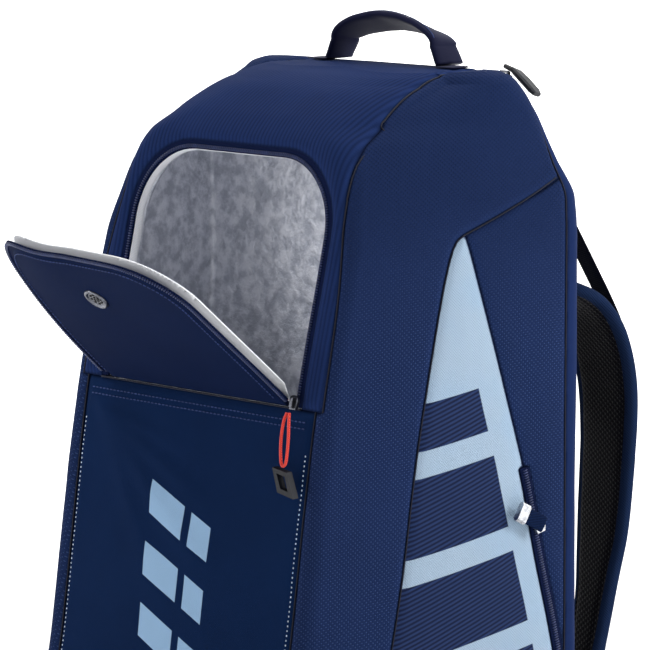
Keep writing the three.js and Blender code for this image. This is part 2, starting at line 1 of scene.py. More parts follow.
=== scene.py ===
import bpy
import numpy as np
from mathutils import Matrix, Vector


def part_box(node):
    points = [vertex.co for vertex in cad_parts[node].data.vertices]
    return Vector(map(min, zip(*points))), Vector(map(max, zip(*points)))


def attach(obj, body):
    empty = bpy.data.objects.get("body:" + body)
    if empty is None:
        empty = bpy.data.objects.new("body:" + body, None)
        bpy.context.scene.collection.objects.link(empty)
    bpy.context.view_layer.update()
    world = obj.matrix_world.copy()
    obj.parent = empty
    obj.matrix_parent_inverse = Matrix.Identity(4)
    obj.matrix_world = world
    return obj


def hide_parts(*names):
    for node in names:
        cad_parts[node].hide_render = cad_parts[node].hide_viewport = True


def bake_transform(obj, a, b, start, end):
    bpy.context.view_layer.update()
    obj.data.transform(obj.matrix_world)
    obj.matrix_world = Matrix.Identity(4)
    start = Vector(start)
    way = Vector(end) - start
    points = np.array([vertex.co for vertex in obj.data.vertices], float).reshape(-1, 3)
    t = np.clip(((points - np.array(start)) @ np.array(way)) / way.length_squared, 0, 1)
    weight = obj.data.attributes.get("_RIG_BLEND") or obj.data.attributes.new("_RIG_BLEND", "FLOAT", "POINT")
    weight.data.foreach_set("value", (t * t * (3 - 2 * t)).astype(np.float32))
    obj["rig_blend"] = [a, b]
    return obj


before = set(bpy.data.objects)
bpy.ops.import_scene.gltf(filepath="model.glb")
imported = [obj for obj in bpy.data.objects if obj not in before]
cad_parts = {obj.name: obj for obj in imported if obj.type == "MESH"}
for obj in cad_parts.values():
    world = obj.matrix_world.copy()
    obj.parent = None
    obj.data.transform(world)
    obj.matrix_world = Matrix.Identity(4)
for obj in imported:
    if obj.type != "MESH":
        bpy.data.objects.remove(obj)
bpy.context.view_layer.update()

import math

import bmesh
import bpy
import numpy as np
from mathutils import Vector, noise
from mathutils.bvhtree import BVHTree
from mathutils.kdtree import KDTree

# Shapes are worked out in millimetres and scaled to the frame's metres when a mesh is made.
MM = 0.001
ROOT = "root"
SIDES = ((1, "right"), (-1, "left"))

# ---------------------------------------------------------------- the bag's own dimensions, as in the frame
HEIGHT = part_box("center_panel")[1].z / MM
SEAM_Z = 318.0  # the flap's hinge seam
BASE_Z = 16.0  # the base's top edge
SHOULDER_Z = 514.0  # where the sides turn over into the roof
BACK_SEAM_Y = 90.0  # between the side panels and the back gusset
POCKET_HALF = 107.0
FACE_LEAN = math.radians(13.4)  # the front face leans back this far over the shoe opening
FLAP_REST = math.radians(45.5)  # the flap leans out this far from upright
ARCH_HALF, ARCH_RISE, ARCH_CORNER = 94.0, 163.0, 50.0  # the shoe opening, along the leaning face
TAPE = 5.5  # width of the zip tape that shows
FLAP_HALF = 88.2
SIDE_BULGE = 5.0
PIVOT = np.array([0.0, -101.5, 318.0])  # the flap's hinge axis, just outside the seam
FLAP_SET = np.array([0.0, 3.6, 2.3])  # from the axis to the middle of the flap's cloth at its foot
# z, front y, back y, front half-width, back half-width, front corner radius, back corner radius
LEVELS = np.array([
    [0, -140, 96, 110, 140, 14, 14],
    [6, -146, 103, 117, 147, 14, 14],
    [16, -149, 107, 122, 152, 14, 14],
    [150, -126, 107, 123, 152, 12, 14],
    [318, -100, 107, 122, 151, 12, 14],
    [410, -78, 107, 119, 151, 13, 14],
    [440, -71, 106, 113, 150, 15, 15],
    [464, -65.5, 102, 107, 139, 18, 17],
    [480, -60, 99, 101, 133, 24, 19],
    [493, -49, 97, 94, 128, 36, 20],
    [504, -33, 95, 95, 123, 50, 22],
    [512, -17, 93, 94, 118, 60, 24],
    [518, 8, 91, 88, 113, 66, 26],
    [521, 40, 86, 76, 105, 40, 26],
], float)
RIB_SEAM = np.array([[73, 91], [82, 30], [92, -21], [99, -51], [103, -69], [113, -96], [113, -170]], float)


# ---------------------------------------------------------------- numbers
def monotone(x, y, at):
    """Cubic interpolation through (x, y) that never overshoots."""
    at = np.clip(np.asarray(at, float), x[0], x[-1])
    step, slope = np.diff(x), np.diff(y) / np.diff(x)
    tangent = np.zeros(len(x))
    tangent[0], tangent[-1] = slope[0], slope[-1]
    same = slope[:-1] * slope[1:] > 0
    middle = np.zeros(len(x) - 2)
    middle[same] = 2 / (1 / slope[:-1][same] + 1 / slope[1:][same])
    tangent[1:-1] = middle
    i = np.clip(np.searchsorted(x, at, side="right") - 1, 0, len(x) - 2)
    t = (at - x[i]) / step[i]
    return (
        (2 * t**3 - 3 * t**2 + 1) * y[i]
        + (t**3 - 2 * t**2 + t) * step[i] * tangent[i]
        + (3 * t**2 - 2 * t**3) * y[i + 1]
        + (t**3 - t**2) * step[i] * tangent[i + 1]
    )


def level_at(z):
    """Front y, back y, front half-width, back half-width and corner radii at a height."""
    return [monotone(LEVELS[:, 0], LEVELS[:, k], z) for k in range(1, 7)]


def smooth_path(points, count):
    """A Catmull-Rom curve through the points, evenly spaced."""
    points = np.asarray(points, float)
    ends = np.vstack([2 * points[0] - points[1], points, 2 * points[-1] - points[-2]])
    fine = []
    for i in range(len(points) - 1):
        a, b, c, d = ends[i : i + 4]
        for t in np.linspace(0, 1, 24, endpoint=False):
            fine.append(0.5 * (2 * b + (c - a) * t + (2 * a - 5 * b + 4 * c - d) * t**2
                               + (3 * b - a - 3 * c + d) * t**3))
    fine.append(points[-1])
    return respaced(np.array(fine), count)


def respaced(line, count):
    """The line again, as count points an even distance apart."""
    along = np.concatenate([[0], np.cumsum(np.linalg.norm(np.diff(line, axis=0), axis=1))])
    at = np.linspace(0, along[-1], count)
    return np.stack([np.interp(at, along, line[:, k]) for k in range(line.shape[1])], axis=1)


def length_of(line):
    return float(np.linalg.norm(np.diff(line, axis=0), axis=1).sum())


def wobble(points, size, seed=0.0):
    """Smooth noise from -1 to 1 at each point, with features about size millimetres wide."""
    shift = Vector((seed * 7.3, seed * 3.1, seed * 5.7))
    return np.array([noise.noise(Vector(p) / size + shift) for p in points])


def section(z, inset, count):
    """The outline at a height, pulled in by inset: count points anticlockwise from the front centre."""
    front, back, narrow, wide, front_r, back_r = level_at(z)
    front, back, narrow, wide = front + inset, back - inset, narrow - inset, wide - inset
    front_r, back_r = max(front_r - inset, 3), max(back_r - inset, 3)
    slant = math.atan2(wide - narrow, back - front)
    turn_a = np.linspace(-math.pi / 2, -slant, 14)
    turn_b = np.linspace(-slant, math.pi / 2, 14)
    corner_a = np.stack([narrow - front_r + front_r * np.cos(turn_a),
                         front + front_r + front_r * np.sin(turn_a)], 1)
    corner_b = np.stack([wide - back_r + back_r * np.cos(turn_b), back - back_r + back_r * np.sin(turn_b)], 1)
    t = np.linspace(0.04, 0.96, 24)[:, None]
    side = corner_a[-1] + (corner_b[0] - corner_a[-1]) * t
    side = side + SIDE_BULGE * 4 * t * (1 - t) * np.array([math.cos(slant), -math.sin(slant)])
    right = np.vstack([[0, front], corner_a, side, corner_b, [0, back]])
    half = respaced(right, count // 2 + 1)
    left = half[1:-1][::-1] * [-1, 1]
    return np.vstack([half, left])


def front_y(x, z):
    """The y of the front face at x and z."""
    front, _, narrow, _, radius, _ = level_at(z)
    over = np.clip(np.abs(x) - (narrow - radius), 0, radius * 0.98)
    return front + radius - np.sqrt(radius**2 - over**2)


def side_x(y, z):
    """The half-width of the side face at y and z."""
    front, back, narrow, wide, front_r, back_r = level_at(z)
    t = np.clip((y - front - front_r) / (back - front - front_r - back_r), 0, 1)
    return narrow + (wide - narrow) * (y - front) / (back - front) + SIDE_BULGE * 4 * t * (1 - t)


# ---------------------------------------------------------------- meshes
def grid_faces(rows, count, wrap=True):
    """Quads between rows of count points."""
    a = np.arange(rows - 1)[:, None] * count + np.arange(count if wrap else count - 1)[None, :]
    step = (np.arange(count if wrap else count - 1) + 1) % count
    b = np.arange(rows - 1)[:, None] * count + step[None, :]
    return np.stack([a, b, b + count, a + count], -1).reshape(-1, 4)


def triangles(quads):
    return np.vstack([quads[:, [0, 1, 2]], quads[:, [0, 2, 3]]])


def closed_faces(rows, count):
    """The faces of a tube made of rows rings, with both ends closed."""
    last = (rows - 1) * count
    return grid_faces(rows, count).tolist() + [list(range(count))[::-1], list(range(last, last + count))]


def clip(points, tris, field):
    """The part of a triangle mesh where field is below 0, cut exactly along field 0."""
    inside = field < 0
    kind = inside[tris].sum(1)
    whole = tris[kind == 3]
    cuts, extra, made = [], [], {}

    def cut(i, j):
        key = (min(i, j), max(i, j))
        if key not in made:
            a, b = field[key[0]], field[key[1]]
            t = a / (a - b)
            extra.append(points[key[0]] + (points[key[1]] - points[key[0]]) * t)
            made[key] = len(points) + len(extra) - 1
        return made[key]

    for tri in tris[(kind == 1) | (kind == 2)]:
        flags = inside[tri]
        alone = int(np.argmax(flags)) if flags.sum() == 1 else int(np.argmin(flags))
        a, b, c = tri[alone], tri[(alone + 1) % 3], tri[(alone + 2) % 3]
        ab, ca = cut(a, b), cut(a, c)
        if flags.sum() == 1:
            cuts.append([a, ab, ca])
        else:
            cuts += [[ab, b, c], [ab, c, ca]]
    every = np.vstack([points] + ([np.array(extra)] if extra else []))
    faces = np.vstack([whole] + ([np.array(cuts)] if cuts else []))
    used, faces = np.unique(faces, return_inverse=True)
    return every[used], faces.reshape(-1, 3)


def clip_all(sheet, *fields):
    """The part of a sheet where every field is below 0."""
    points, tris = sheet
    for field in fields:
        points, tris = clip(points, tris, field(points))
    return points, tris


def rim_edges(tris):
    """The directed edges that only one triangle uses."""
    edges = np.vstack([tris[:, [0, 1]], tris[:, [1, 2]], tris[:, [2, 0]]])
    _, back, count = np.unique(np.sort(edges, axis=1), axis=0, return_inverse=True, return_counts=True)
    return edges[count[back.ravel()] == 1]


def vertex_normals(points, tris):
    a, b, c = (points[tris[:, k]] for k in range(3))
    face = np.cross(b - a, c - a)
    normal = np.zeros_like(points)
    for k in range(3):
        np.add.at(normal, tris[:, k], face)
    return normal / np.maximum(np.linalg.norm(normal, axis=1), 1e-9)[:, None]


def rim_distance(points, tris, reach=40.0):
    """How far each point is from the mesh's open rim, up to reach."""
    rim = rim_edges(tris)
    marks = np.vstack([points[rim[:, 0]], (points[rim[:, 0]] + points[rim[:, 1]]) / 2])
    tree = KDTree(len(marks))
    for i, mark in enumerate(marks):
        tree.insert(mark, i)
    tree.balance()
    return np.array([min(tree.find(p)[2], reach) for p in points])


def thicken(points, tris, depth, normals=None):
    """A closed shell: the sheet and its copy pushed in by depth, joined round the rim."""
    if normals is None:
        normals = vertex_normals(points, tris)
    inner = points - normals * depth
    rim = rim_edges(tris)
    n = len(points)
    wall = np.vstack([np.stack([rim[:, 1], rim[:, 0], rim[:, 0] + n], 1),
                      np.stack([rim[:, 1], rim[:, 0] + n, rim[:, 1] + n], 1)])
    return np.vstack([points, inner]), np.vstack([tris, tris[:, ::-1] + n, wall])


def set_seam(mesh, values):
    layer = mesh.attributes.new("seam", "FLOAT", "POINT")
    layer.data.foreach_set("value", np.asarray(values, np.float32))


def make_object(name, points, faces, material, seam=None, slots=None):
    """A mesh object from points in millimetres; seam says how far each point is from a seam, 0 to 1."""
    mesh = bpy.data.meshes.new(name)
    mesh.from_pydata((np.asarray(points) * MM).tolist(), [], [list(map(int, f)) for f in faces])
    mesh.validate()
    for kind in material if isinstance(material, (list, tuple)) else [material]:
        mesh.materials.append(kind)
    if slots is not None:
        mesh.polygons.foreach_set("material_index", np.asarray(slots, np.int32))
    mesh.polygons.foreach_set("use_smooth", [True] * len(mesh.polygons))
    if seam is not None:
        set_seam(mesh, seam)
    obj = bpy.data.objects.new(name, mesh)
    bpy.context.scene.collection.objects.link(obj)
    return obj


def blended(obj, body, node, start, end):
    """Bends a cloth piece between the bag, at start, and a moving body, at end."""
    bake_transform(obj, ROOT, body, start=[c * MM for c in start], end=[c * MM for c in end])
    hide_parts(node)


def place(obj, body, slot, *nodes):
    """Rides a finished piece on its body and hides the CAD nodes that it stands for; slot is not used."""
    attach(obj, body)
    if nodes:
        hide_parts(*nodes)
    return obj


# ---------------------------------------------------------------- materials
def linear(*srgb):
    """An sRGB colour of 0 to 255 as a linear RGBA value."""
    parts = [c / 255 for c in srgb]
    return [c / 12.92 if c <= 0.04045 else ((c + 0.055) / 1.055) ** 2.4 for c in parts] + [1.0]


class Finish:
    """One material, with short calls for the nodes that the finishes share."""

    def __init__(self, name, roughness, metallic=0.0, sheen=0.0, specular=0.5):
        self.material = bpy.data.materials.new(name)
        self.material.use_nodes = True
        self.tree = self.material.node_tree
        self.shader = self.tree.nodes["Principled BSDF"]
        self.shader.inputs["Roughness"].default_value = roughness
        self.shader.inputs["Metallic"].default_value = metallic
        self.shader.inputs["Sheen Weight"].default_value = sheen
        self.shader.inputs["Sheen Roughness"].default_value = 0.5
        self.shader.inputs["Specular IOR Level"].default_value = specular
        coords = self.tree.nodes.new("ShaderNodeTexCoord").outputs["Object"]
        split = self.tree.nodes.new("ShaderNodeSeparateXYZ")
        self.tree.links.new(coords, split.inputs[0])
        self.where = coords
        # positions in millimetres
        self.x, self.y, self.z = (self.math("MULTIPLY", split.outputs[k], 1 / MM) for k in range(3))

    def link(self, value, socket):
        if hasattr(value, "links"):
            self.tree.links.new(value, socket)
        else:
            socket.default_value = value

    def math(self, operation, a, b=None, c=None):
        node = self.tree.nodes.new("ShaderNodeMath")
        node.operation = operation
        for value, socket in zip((a, b, c), node.inputs):
            if value is not None:
                self.link(value, socket)
        return node.outputs[0]

    def wave(self, along, pitch, shift=0.0):
        """From 0 to 1 and back once each pitch millimetres."""
        turn = self.math("MULTIPLY_ADD", along, 2 * math.pi / pitch, shift)
        return self.math("MULTIPLY_ADD", self.math("COSINE", turn), 0.5, 0.5)

    def swing(self, along, pitch):
        """A cosine from -1 to 1."""
        return self.math("COSINE", self.math("MULTIPLY_ADD", along, 2 * math.pi / pitch, 0.0))

    def noise(self, size, detail=3.0, roughness=0.55):
        """Noise from 0 to 1 with features about size millimetres wide."""
        node = self.tree.nodes.new("ShaderNodeTexNoise")
        self.tree.links.new(self.where, node.inputs["Vector"])
        node.inputs["Scale"].default_value = 1 / (size * MM)
        node.inputs["Detail"].default_value = detail
        node.inputs["Roughness"].default_value = roughness
        return node.outputs["Fac"]

    def attribute(self, name):
        node = self.tree.nodes.new("ShaderNodeAttribute")
        node.attribute_name = name
        return node.outputs["Fac"]

    def remap(self, value, low, high, to_low=0.0, to_high=1.0):
        node = self.tree.nodes.new("ShaderNodeMapRange")
        node.interpolation_type = "SMOOTHSTEP"
        self.link(value, node.inputs[0])
        for socket, number in zip(node.inputs[1:5], (low, high, to_low, to_high)):
            socket.default_value = number
        return node.outputs[0]

    def mix(self, amount, first, second):
        node = self.tree.nodes.new("ShaderNodeMix")
        node.data_type = "RGBA"
        self.link(amount, node.inputs[0])
        self.link(first, node.inputs[6])
        self.link(second, node.inputs[7])
        return node.outputs[2]

    def colour(self, value):
        self.link(value, self.shader.inputs["Base Color"])

    def rough(self, value):
        self.link(value, self.shader.inputs["Roughness"])

    def bump(self, height, depth):
        """Bump whose height goes from 0 to depth millimetres."""
        node = self.tree.nodes.new("ShaderNodeBump")
        node.inputs["Strength"].default_value = 1.0
        node.inputs["Distance"].default_value = depth * MM
        self.link(height, node.inputs["Height"])
        self.tree.links.new(node.outputs[0], self.shader.inputs["Normal"])


def scaled(colour, factor):
    return [c * factor for c in colour[:3]] + [1.0]


def cloth_finish(name, colour, pattern, depth, hollow_shade=0.6, roughness=0.85, sheen=0.0, patch=0.12,
                 seams=True, specks=False):
    """Woven cloth: pattern gives the weave's height, and painted shade makes the hollows darker by a factor.
    """
    f = Finish(name, roughness, sheen=sheen, specular=0.04)
    height = pattern(f)
    fuzz = f.noise(0.7, 2.0)
    # painted shade: the weave's hollows are darker
    body = f.mix(height, scaled(colour, hollow_shade), colour)
    clouds = f.remap(f.noise(60, 3.0), 0.35, 0.65)
    body = f.mix(f.math("MULTIPLY", clouds, patch), body, scaled(colour, 1.5))
    if specks:
        # the yarn behind shows as pale specks in the hollows, fading out towards the top
        seen = f.math("MULTIPLY", f.remap(height, 0.12, 0.0), f.remap(f.z, 470.0, 330.0, 0.25, 1.0))
        body = f.mix(f.math("MULTIPLY", seen, 0.3), body, linear(84, 110, 168))
    if seams:
        # painted highlight just off the seam, broken up by noise, and painted shade in the seam's groove
        edge = f.attribute("seam")
        seam_highlight = f.math("MULTIPLY", f.remap(edge, 0.9, 0.35), f.noise(4.0, 3.0))
        body = f.mix(f.math("MULTIPLY", seam_highlight, 0.14), body, scaled(colour, 2.4))
        body = f.mix(f.remap(edge, 0.3, 0.0), body, scaled(colour, 0.4))
    f.colour(body)
    f.rough(f.math("MULTIPLY_ADD", fuzz, 0.16, roughness - 0.08))
    f.bump(f.math("ADD", height, f.math("MULTIPLY", fuzz, 0.25)), depth)
    return f.material


def ribs(f):
    """Upright ribs with a row of small holes down each furrow."""
    along = f.math("ADD", f.z, f.y)
    rib = f.wave(f.x, 3.3)
    row = f.swing(along, 2.6)
    other = f.swing(f.x, 6.6)
    holes = f.remap(f.math("MULTIPLY", row, other), 0.1, 0.8)
    furrow = f.math("SUBTRACT", 1.0, rib)
    soft = f.math("POWER", rib, 0.6)
    return f.math("SUBTRACT", soft, f.math("MULTIPLY", f.math("MULTIPLY", furrow, holes), 0.35))


def dimples(f, wide=4.0, high=3.2):
    """Staggered hollows, on the side faces and over the shoulders."""
    out = f.math("ABSOLUTE", f.x)
    u = f.math("ADD", f.y, out)
    v = f.math("MULTIPLY_ADD", out, -0.4, f.z)
    dots = f.math("MULTIPLY", f.swing(u, wide), f.swing(v, high))
    return f.remap(dots, -0.75, 0.25)


def fine_dimples(f):
    return dimples(f, 2.2, 1.9)


def twill(f):
    """Fine diagonal ridges."""
    out = f.math("ADD", f.x, f.y)
    ridge = f.wave(f.math("ADD", out, f.z), 1.15)
    weft = f.wave(f.math("SUBTRACT", out, f.z), 1.6)
    return f.math("MULTIPLY_ADD", ridge, 0.7, f.math("MULTIPLY", weft, 0.3))


def plain_weave(f):
    out = f.math("ADD", f.x, f.y)
    return f.math("MULTIPLY", f.wave(out, 0.9), f.wave(f.z, 0.9))


def airmesh(f):
    """Open spacer mesh."""
    out = f.math("ADD", f.x, f.math("MULTIPLY", f.y, 0.6))
    dots = f.math("MULTIPLY", f.swing(out, 4.4), f.swing(f.z, 3.6))
    return f.remap(dots, -0.2, 0.75, 1.0, 0.0)


NAVY = linear(27, 44, 87)
NAVY_SIDE = linear(25, 40, 77)
NAVY_TWILL = linear(13, 36, 74)
NAVY_DARK = linear(14, 20, 40)
LIGHT = linear(162, 183, 204)


def side_insert_finish():
    """Light dimpled cloth with slanted bars of ribbed navy cloth let into it."""
    f = Finish("insert_cloth", 0.6, specular=0.12)
    fine = fine_dimples(f)
    # bars that rise towards the back, cut off along the insert's own slope
    slanted = f.math("MULTIPLY_ADD", f.y, -0.16, f.z)
    band = f.wave(slanted, 67.0, 1.641)
    bar = f.remap(band, 0.14, 0.16)
    low = f.remap(slanted, 322.5, 322.0)
    edge = f.math("MULTIPLY_ADD", f.z, 0.262, f.y)
    back = f.remap(edge, 98.0, 97.0)
    dark = f.math("MULTIPLY", f.math("MULTIPLY", bar, low), back)
    ridge = f.wave(f.math("MULTIPLY_ADD", f.y, -0.35, f.z), 2.9)
    # painted shade: the dimples' hollows are darker
    light = f.mix(fine, scaled(LIGHT, 0.82), LIGHT)
    clouds = f.remap(f.noise(45, 2.0), 0.4, 0.7)
    light = f.mix(f.math("MULTIPLY", clouds, 0.12), light, linear(120, 170, 215))
    # painted shade: the navy bars' ribs are darker in their furrows
    navy = f.mix(ridge, linear(15, 24, 54), linear(36, 54, 96))
    body = f.mix(dark, light, navy)
    body = f.mix(f.remap(f.attribute("seam"), 0.2, 0.0), body, NAVY)
    f.colour(body)
    f.rough(f.math("MULTIPLY_ADD", dark, 0.2, 0.58))
    height = f.math("MULTIPLY_ADD", dark, f.math("SUBTRACT", f.math("MULTIPLY", ridge, 2.0), fine), fine)
    f.bump(height, 0.16)
    return f.material


def pocket_finish():
    """Twill with a column of plain slanted bars printed on it."""
    f = Finish("pocket_twill", 0.82, specular=0.04)
    weave = twill(f)
    # painted shade: the twill's hollows are darker
    cloth = f.mix(weave, scaled(NAVY_TWILL, 0.75), NAVY_TWILL)
    clouds = f.remap(f.noise(50, 3.0), 0.35, 0.65)
    cloth = f.mix(f.math("MULTIPLY", clouds, 0.12), cloth, scaled(NAVY_TWILL, 1.5))
    slanted = f.math("MULTIPLY_ADD", f.x, 0.42, f.z)
    bars = f.remap(f.wave(slanted, 40.0, 0.6), 0.42, 0.45)
    low = f.remap(slanted, 250.0, 249.3)
    column = f.remap(f.math("ABSOLUTE", f.x), 29.0, 28.4)
    gap = f.remap(f.math("ABSOLUTE", f.math("SUBTRACT", f.x, 7.0)), 3.0, 3.6)
    ink = f.math("MULTIPLY", f.math("MULTIPLY", bars, low), f.math("MULTIPLY", column, gap))
    body = f.mix(ink, cloth, linear(150, 184, 218))
    edge = f.attribute("seam")
    # painted shade in the seam's groove
    body = f.mix(f.remap(edge, 0.3, 0.0), body, scaled(NAVY_TWILL, 0.4))
    f.colour(body)
    f.rough(f.math("MULTIPLY_ADD", ink, -0.25, 0.82))
    threads = f.math("ADD", weave, f.math("MULTIPLY", f.noise(0.8), 0.3))
    f.bump(f.math("MULTIPLY_ADD", ink, 0.6, threads), 0.1)
    return f.material


def lining_finish():
    """Silver grey coated lining, crinkled."""
    f = Finish("coated_lining", 0.42, metallic=0.35, specular=0.5)
    crease = f.noise(9, 4.0, 0.6)
    # painted shade: the crinkles are darker in their creases
    f.colour(f.mix(f.remap(crease, 0.35, 0.65), linear(176, 180, 192), linear(226, 228, 236)))
    f.rough(f.remap(f.noise(5, 3.0), 0.3, 0.7, 0.32, 0.55))
    f.bump(crease, 2.2)
    return f.material


def facing_finish():
    f = Finish("facing_tape", 0.75, sheen=0.1)
    rib = f.wave(f.math("ADD", f.x, f.z), 1.0)
    # painted shade: darker in the hollows between the ribs
    f.colour(f.mix(rib, linear(232, 235, 242), linear(252, 252, 254)))
    f.bump(rib, 0.08)
    return f.material


def metal_finish(name, colour, roughness):
    f = Finish(name, roughness, metallic=1.0)
    scratches = f.noise(0.6, 4.0, 0.7)
    f.colour(f.mix(f.remap(f.noise(2.5), 0.4, 0.7), colour, scaled(colour, 0.6)))
    f.rough(f.math("MULTIPLY_ADD", scratches, 0.2, roughness - 0.1))
    f.bump(scratches, 0.02)
    return f.material


def moulded_finish(name, colour, roughness=0.5):
    f = Finish(name, roughness, specular=0.45)
    grain = f.noise(0.5, 2.0)
    f.colour(f.mix(f.remap(f.noise(6), 0.4, 0.7), colour, scaled(colour, 1.5)))
    f.rough(f.math("MULTIPLY_ADD", grain, 0.2, roughness - 0.1))
    f.bump(grain, 0.05)
    return f.material


def webbing_weave(f):
    """Ribs across the webbing with a herringbone between them."""
    out = f.math("ADD", f.y, f.math("MULTIPLY", f.x, 0.9))
    rib = f.wave(f.math("ADD", f.z, f.math("MULTIPLY", f.x, 0.15)), 1.7)
    cross = f.wave(out, 1.3)
    return f.math("MULTIPLY_ADD", rib, 0.7, f.math("MULTIPLY", cross, 0.3))


def cord_finish():
    f = Finish("red_cord", 0.55, sheen=0.2)
    plait = f.wave(f.math("ADD", f.z, f.math("MULTIPLY", f.x, 1.4)), 1.1)
    # painted shade: the plait is darker in its grooves
    f.colour(f.mix(plait, linear(190, 26, 20), linear(255, 66, 40)))
    f.bump(plait, 0.12)
    return f.material


FINISH = {
    "ribbed": cloth_finish("ribbed_cloth", NAVY, ribs, 0.25, 0.6),
    "dimpled": cloth_finish("dimpled_cloth", NAVY_SIDE, dimples, 0.3, 0.62, specks=True),
    "twill": cloth_finish("flap_twill", linear(13, 27, 60), twill, 0.1, 0.75),
    "pocket": pocket_finish(),
    "smooth": cloth_finish("smooth_cloth", NAVY, plain_weave, 0.06, 0.8, roughness=0.75),
    "insert": side_insert_finish(),
    "mesh": cloth_finish("spacer_mesh", linear(22, 26, 40), airmesh, 0.9, 0.25, roughness=0.9),
    "base": cloth_finish("base_cloth", NAVY_DARK, plain_weave, 0.1, 0.7, roughness=0.6),
    "webbing": cloth_finish("navy_webbing", linear(16, 32, 66), webbing_weave, 0.25, 0.5, seams=False),
    "black_webbing": cloth_finish("black_webbing", linear(15, 18, 32), webbing_weave, 0.25, 0.5, seams=False),
    "handle": cloth_finish("handle_satin", linear(23, 26, 54), plain_weave, 0.05, 0.85, 0.6, 0.05,
                           seams=False),
    "strap_face": cloth_finish("strap_satin", linear(26, 62, 104), plain_weave, 0.06, 0.8, 0.5, 0.1,
                               seams=False),
    "strap_edge": cloth_finish("strap_binding", linear(26, 42, 74), fine_dimples, 0.2, 0.5, seams=False),
    "strap_back": cloth_finish("strap_mesh", linear(12, 12, 20), airmesh, 0.6, 0.4, 0.9, 0.1, seams=False),
    "tape": cloth_finish("zip_tape_cloth", linear(15, 25, 58), webbing_weave, 0.1, 0.7, seams=False),
    "teeth": moulded_finish("coil", linear(34, 46, 86), 0.35),
    # painted shade: a dark cord finish that stands for the shade in the seams' grooves
    "seam": moulded_finish("seam_shade_cord", linear(10, 15, 34), 0.8),
    "thread": moulded_finish("navy_thread", linear(34, 54, 104), 0.7),
    "pale_thread": moulded_finish("pale_thread", linear(190, 205, 225), 0.7),
    "lining": lining_finish(),
    "facing": facing_finish(),
    "gunmetal": metal_finish("gunmetal", linear(96, 98, 106), 0.32),
    "dark_metal": metal_finish("dark_metal", linear(120, 122, 130), 0.3),
    "silver": metal_finish("silver", linear(196, 198, 204), 0.28),
    "rubber": moulded_finish("rubber", linear(15, 18, 26), 0.6),
    "plastic": moulded_finish("plastic", linear(18, 19, 22), 0.4),
    "sheet": moulded_finish("stiffener_sheet", linear(50, 52, 58), 0.5),
    "cord": cord_finish(),
}


# ---------------------------------------------------------------- the body's outer surface
PANEL_DEPTH, SEAM_GROOVE, SEAM_REACH = 4.2, 1.5, 8.0
STEP = 2.3  # between the points of the outer surface
GIRTH = 980.0  # round the body, near enough to space the points
CREST = (0, 63.0)  # the roof closes in towards this point


def body_sheet(inset=0.0):
    """The whole outer surface from the base's top edge up, closed over the roof."""
    z = np.linspace(BASE_Z, SHOULDER_Z, 4000)
    front = np.column_stack([z, monotone(LEVELS[:, 0], LEVELS[:, 1], z)])
    along = np.concatenate([[0], np.cumsum(np.hypot(*np.diff(front, axis=0).T))])
    heights = np.interp(np.linspace(0, along[-1], int(along[-1] / STEP)), along, z)
    count = int(GIRTH / STEP) // 2 * 2
    squeeze = (HEIGHT - 2 * inset) / HEIGHT
    rings = []
    for height in heights:
        outline = section(height, inset, count)
        rings.append(np.column_stack([outline, np.full(count, inset + height * squeeze)]))
    # above the shoulder every outline point moves straight in towards the middle, the front ones furthest
    shoulder = rings[-1]
    centre = np.array([*CREST, shoulder[0, 2]])
    aim = shoulder - centre
    sine = aim[:, 1] / np.hypot(aim[:, 0], aim[:, 1])
    reach = 0.13 + 0.54 * np.clip(-sine, 0, 1) ** 2 + 0.07 * np.clip(sine, 0, 1) ** 2
    crest = np.linspace(SHOULDER_Z, HEIGHT, 200)
    start, end = level_at(SHOULDER_Z)[0], LEVELS[-1, 1]
    shares = np.linspace(0, 1, 21)[1:]
    levels = np.interp(start + shares * (end - start), monotone(LEVELS[:, 0], LEVELS[:, 1], crest), crest)
    for share, level in zip(shares, levels):
        ring = centre + aim * (1 - share * reach)[:, None]
        ring[:, 2] = inset + level * squeeze
        rings.append(ring)
    top = rings[-1]
    centre = np.array([*CREST, top[0, 2]])
    for share in np.linspace(0, 0.9, 11)[1:]:
        rings.append(top + (centre - top) * share)
    points, tris = np.vstack(rings + [centre]), triangles(grid_faces(len(rings), count))
    last = (len(rings) - 1) * count + np.arange(count)
    tris = np.vstack([tris, np.stack([last, np.roll(last, -1), np.full(count, len(points) - 1)], 1)])
    return np.column_stack([points, vertex_normals(points, tris)]), tris


def signed_distance(a, b, corners):
    """Distance from each (a, b) to a closed outline, below 0 inside it."""
    corners = np.asarray(corners, float)
    best, inside = np.full(len(a), 1e9), np.zeros(len(a), bool)
    for (x0, y0), (x1, y1) in zip(corners, np.roll(corners, -1, axis=0)):
        dx, dy = x1 - x0, y1 - y0
        t = np.clip(((a - x0) * dx + (b - y0) * dy) / (dx * dx + dy * dy), 0, 1)
        best = np.minimum(best, np.hypot(a - x0 - t * dx, b - y0 - t * dy))
        if y0 != y1:
            crosses = ((y0 > b) != (y1 > b)) & (a < x0 + (b - y0) * dx / dy)
            inside ^= crosses
    return np.where(inside, -best, best)


def arch_outline(half, rise, corner, foot):
    """The shoe opening's outline from its foot up, round to the other side."""
    turn = np.linspace(0, math.pi / 2, 14)
    right = np.column_stack([half - corner + corner * np.cos(turn), rise - corner + corner * np.sin(turn)])
    return np.vstack([[half, foot], right, right[::-1] * [-1, 1], [-half, foot]])


FALL = math.cos(FACE_LEAN)
OPENING = arch_outline(ARCH_HALF, ARCH_RISE * FALL, ARCH_CORNER, -6)
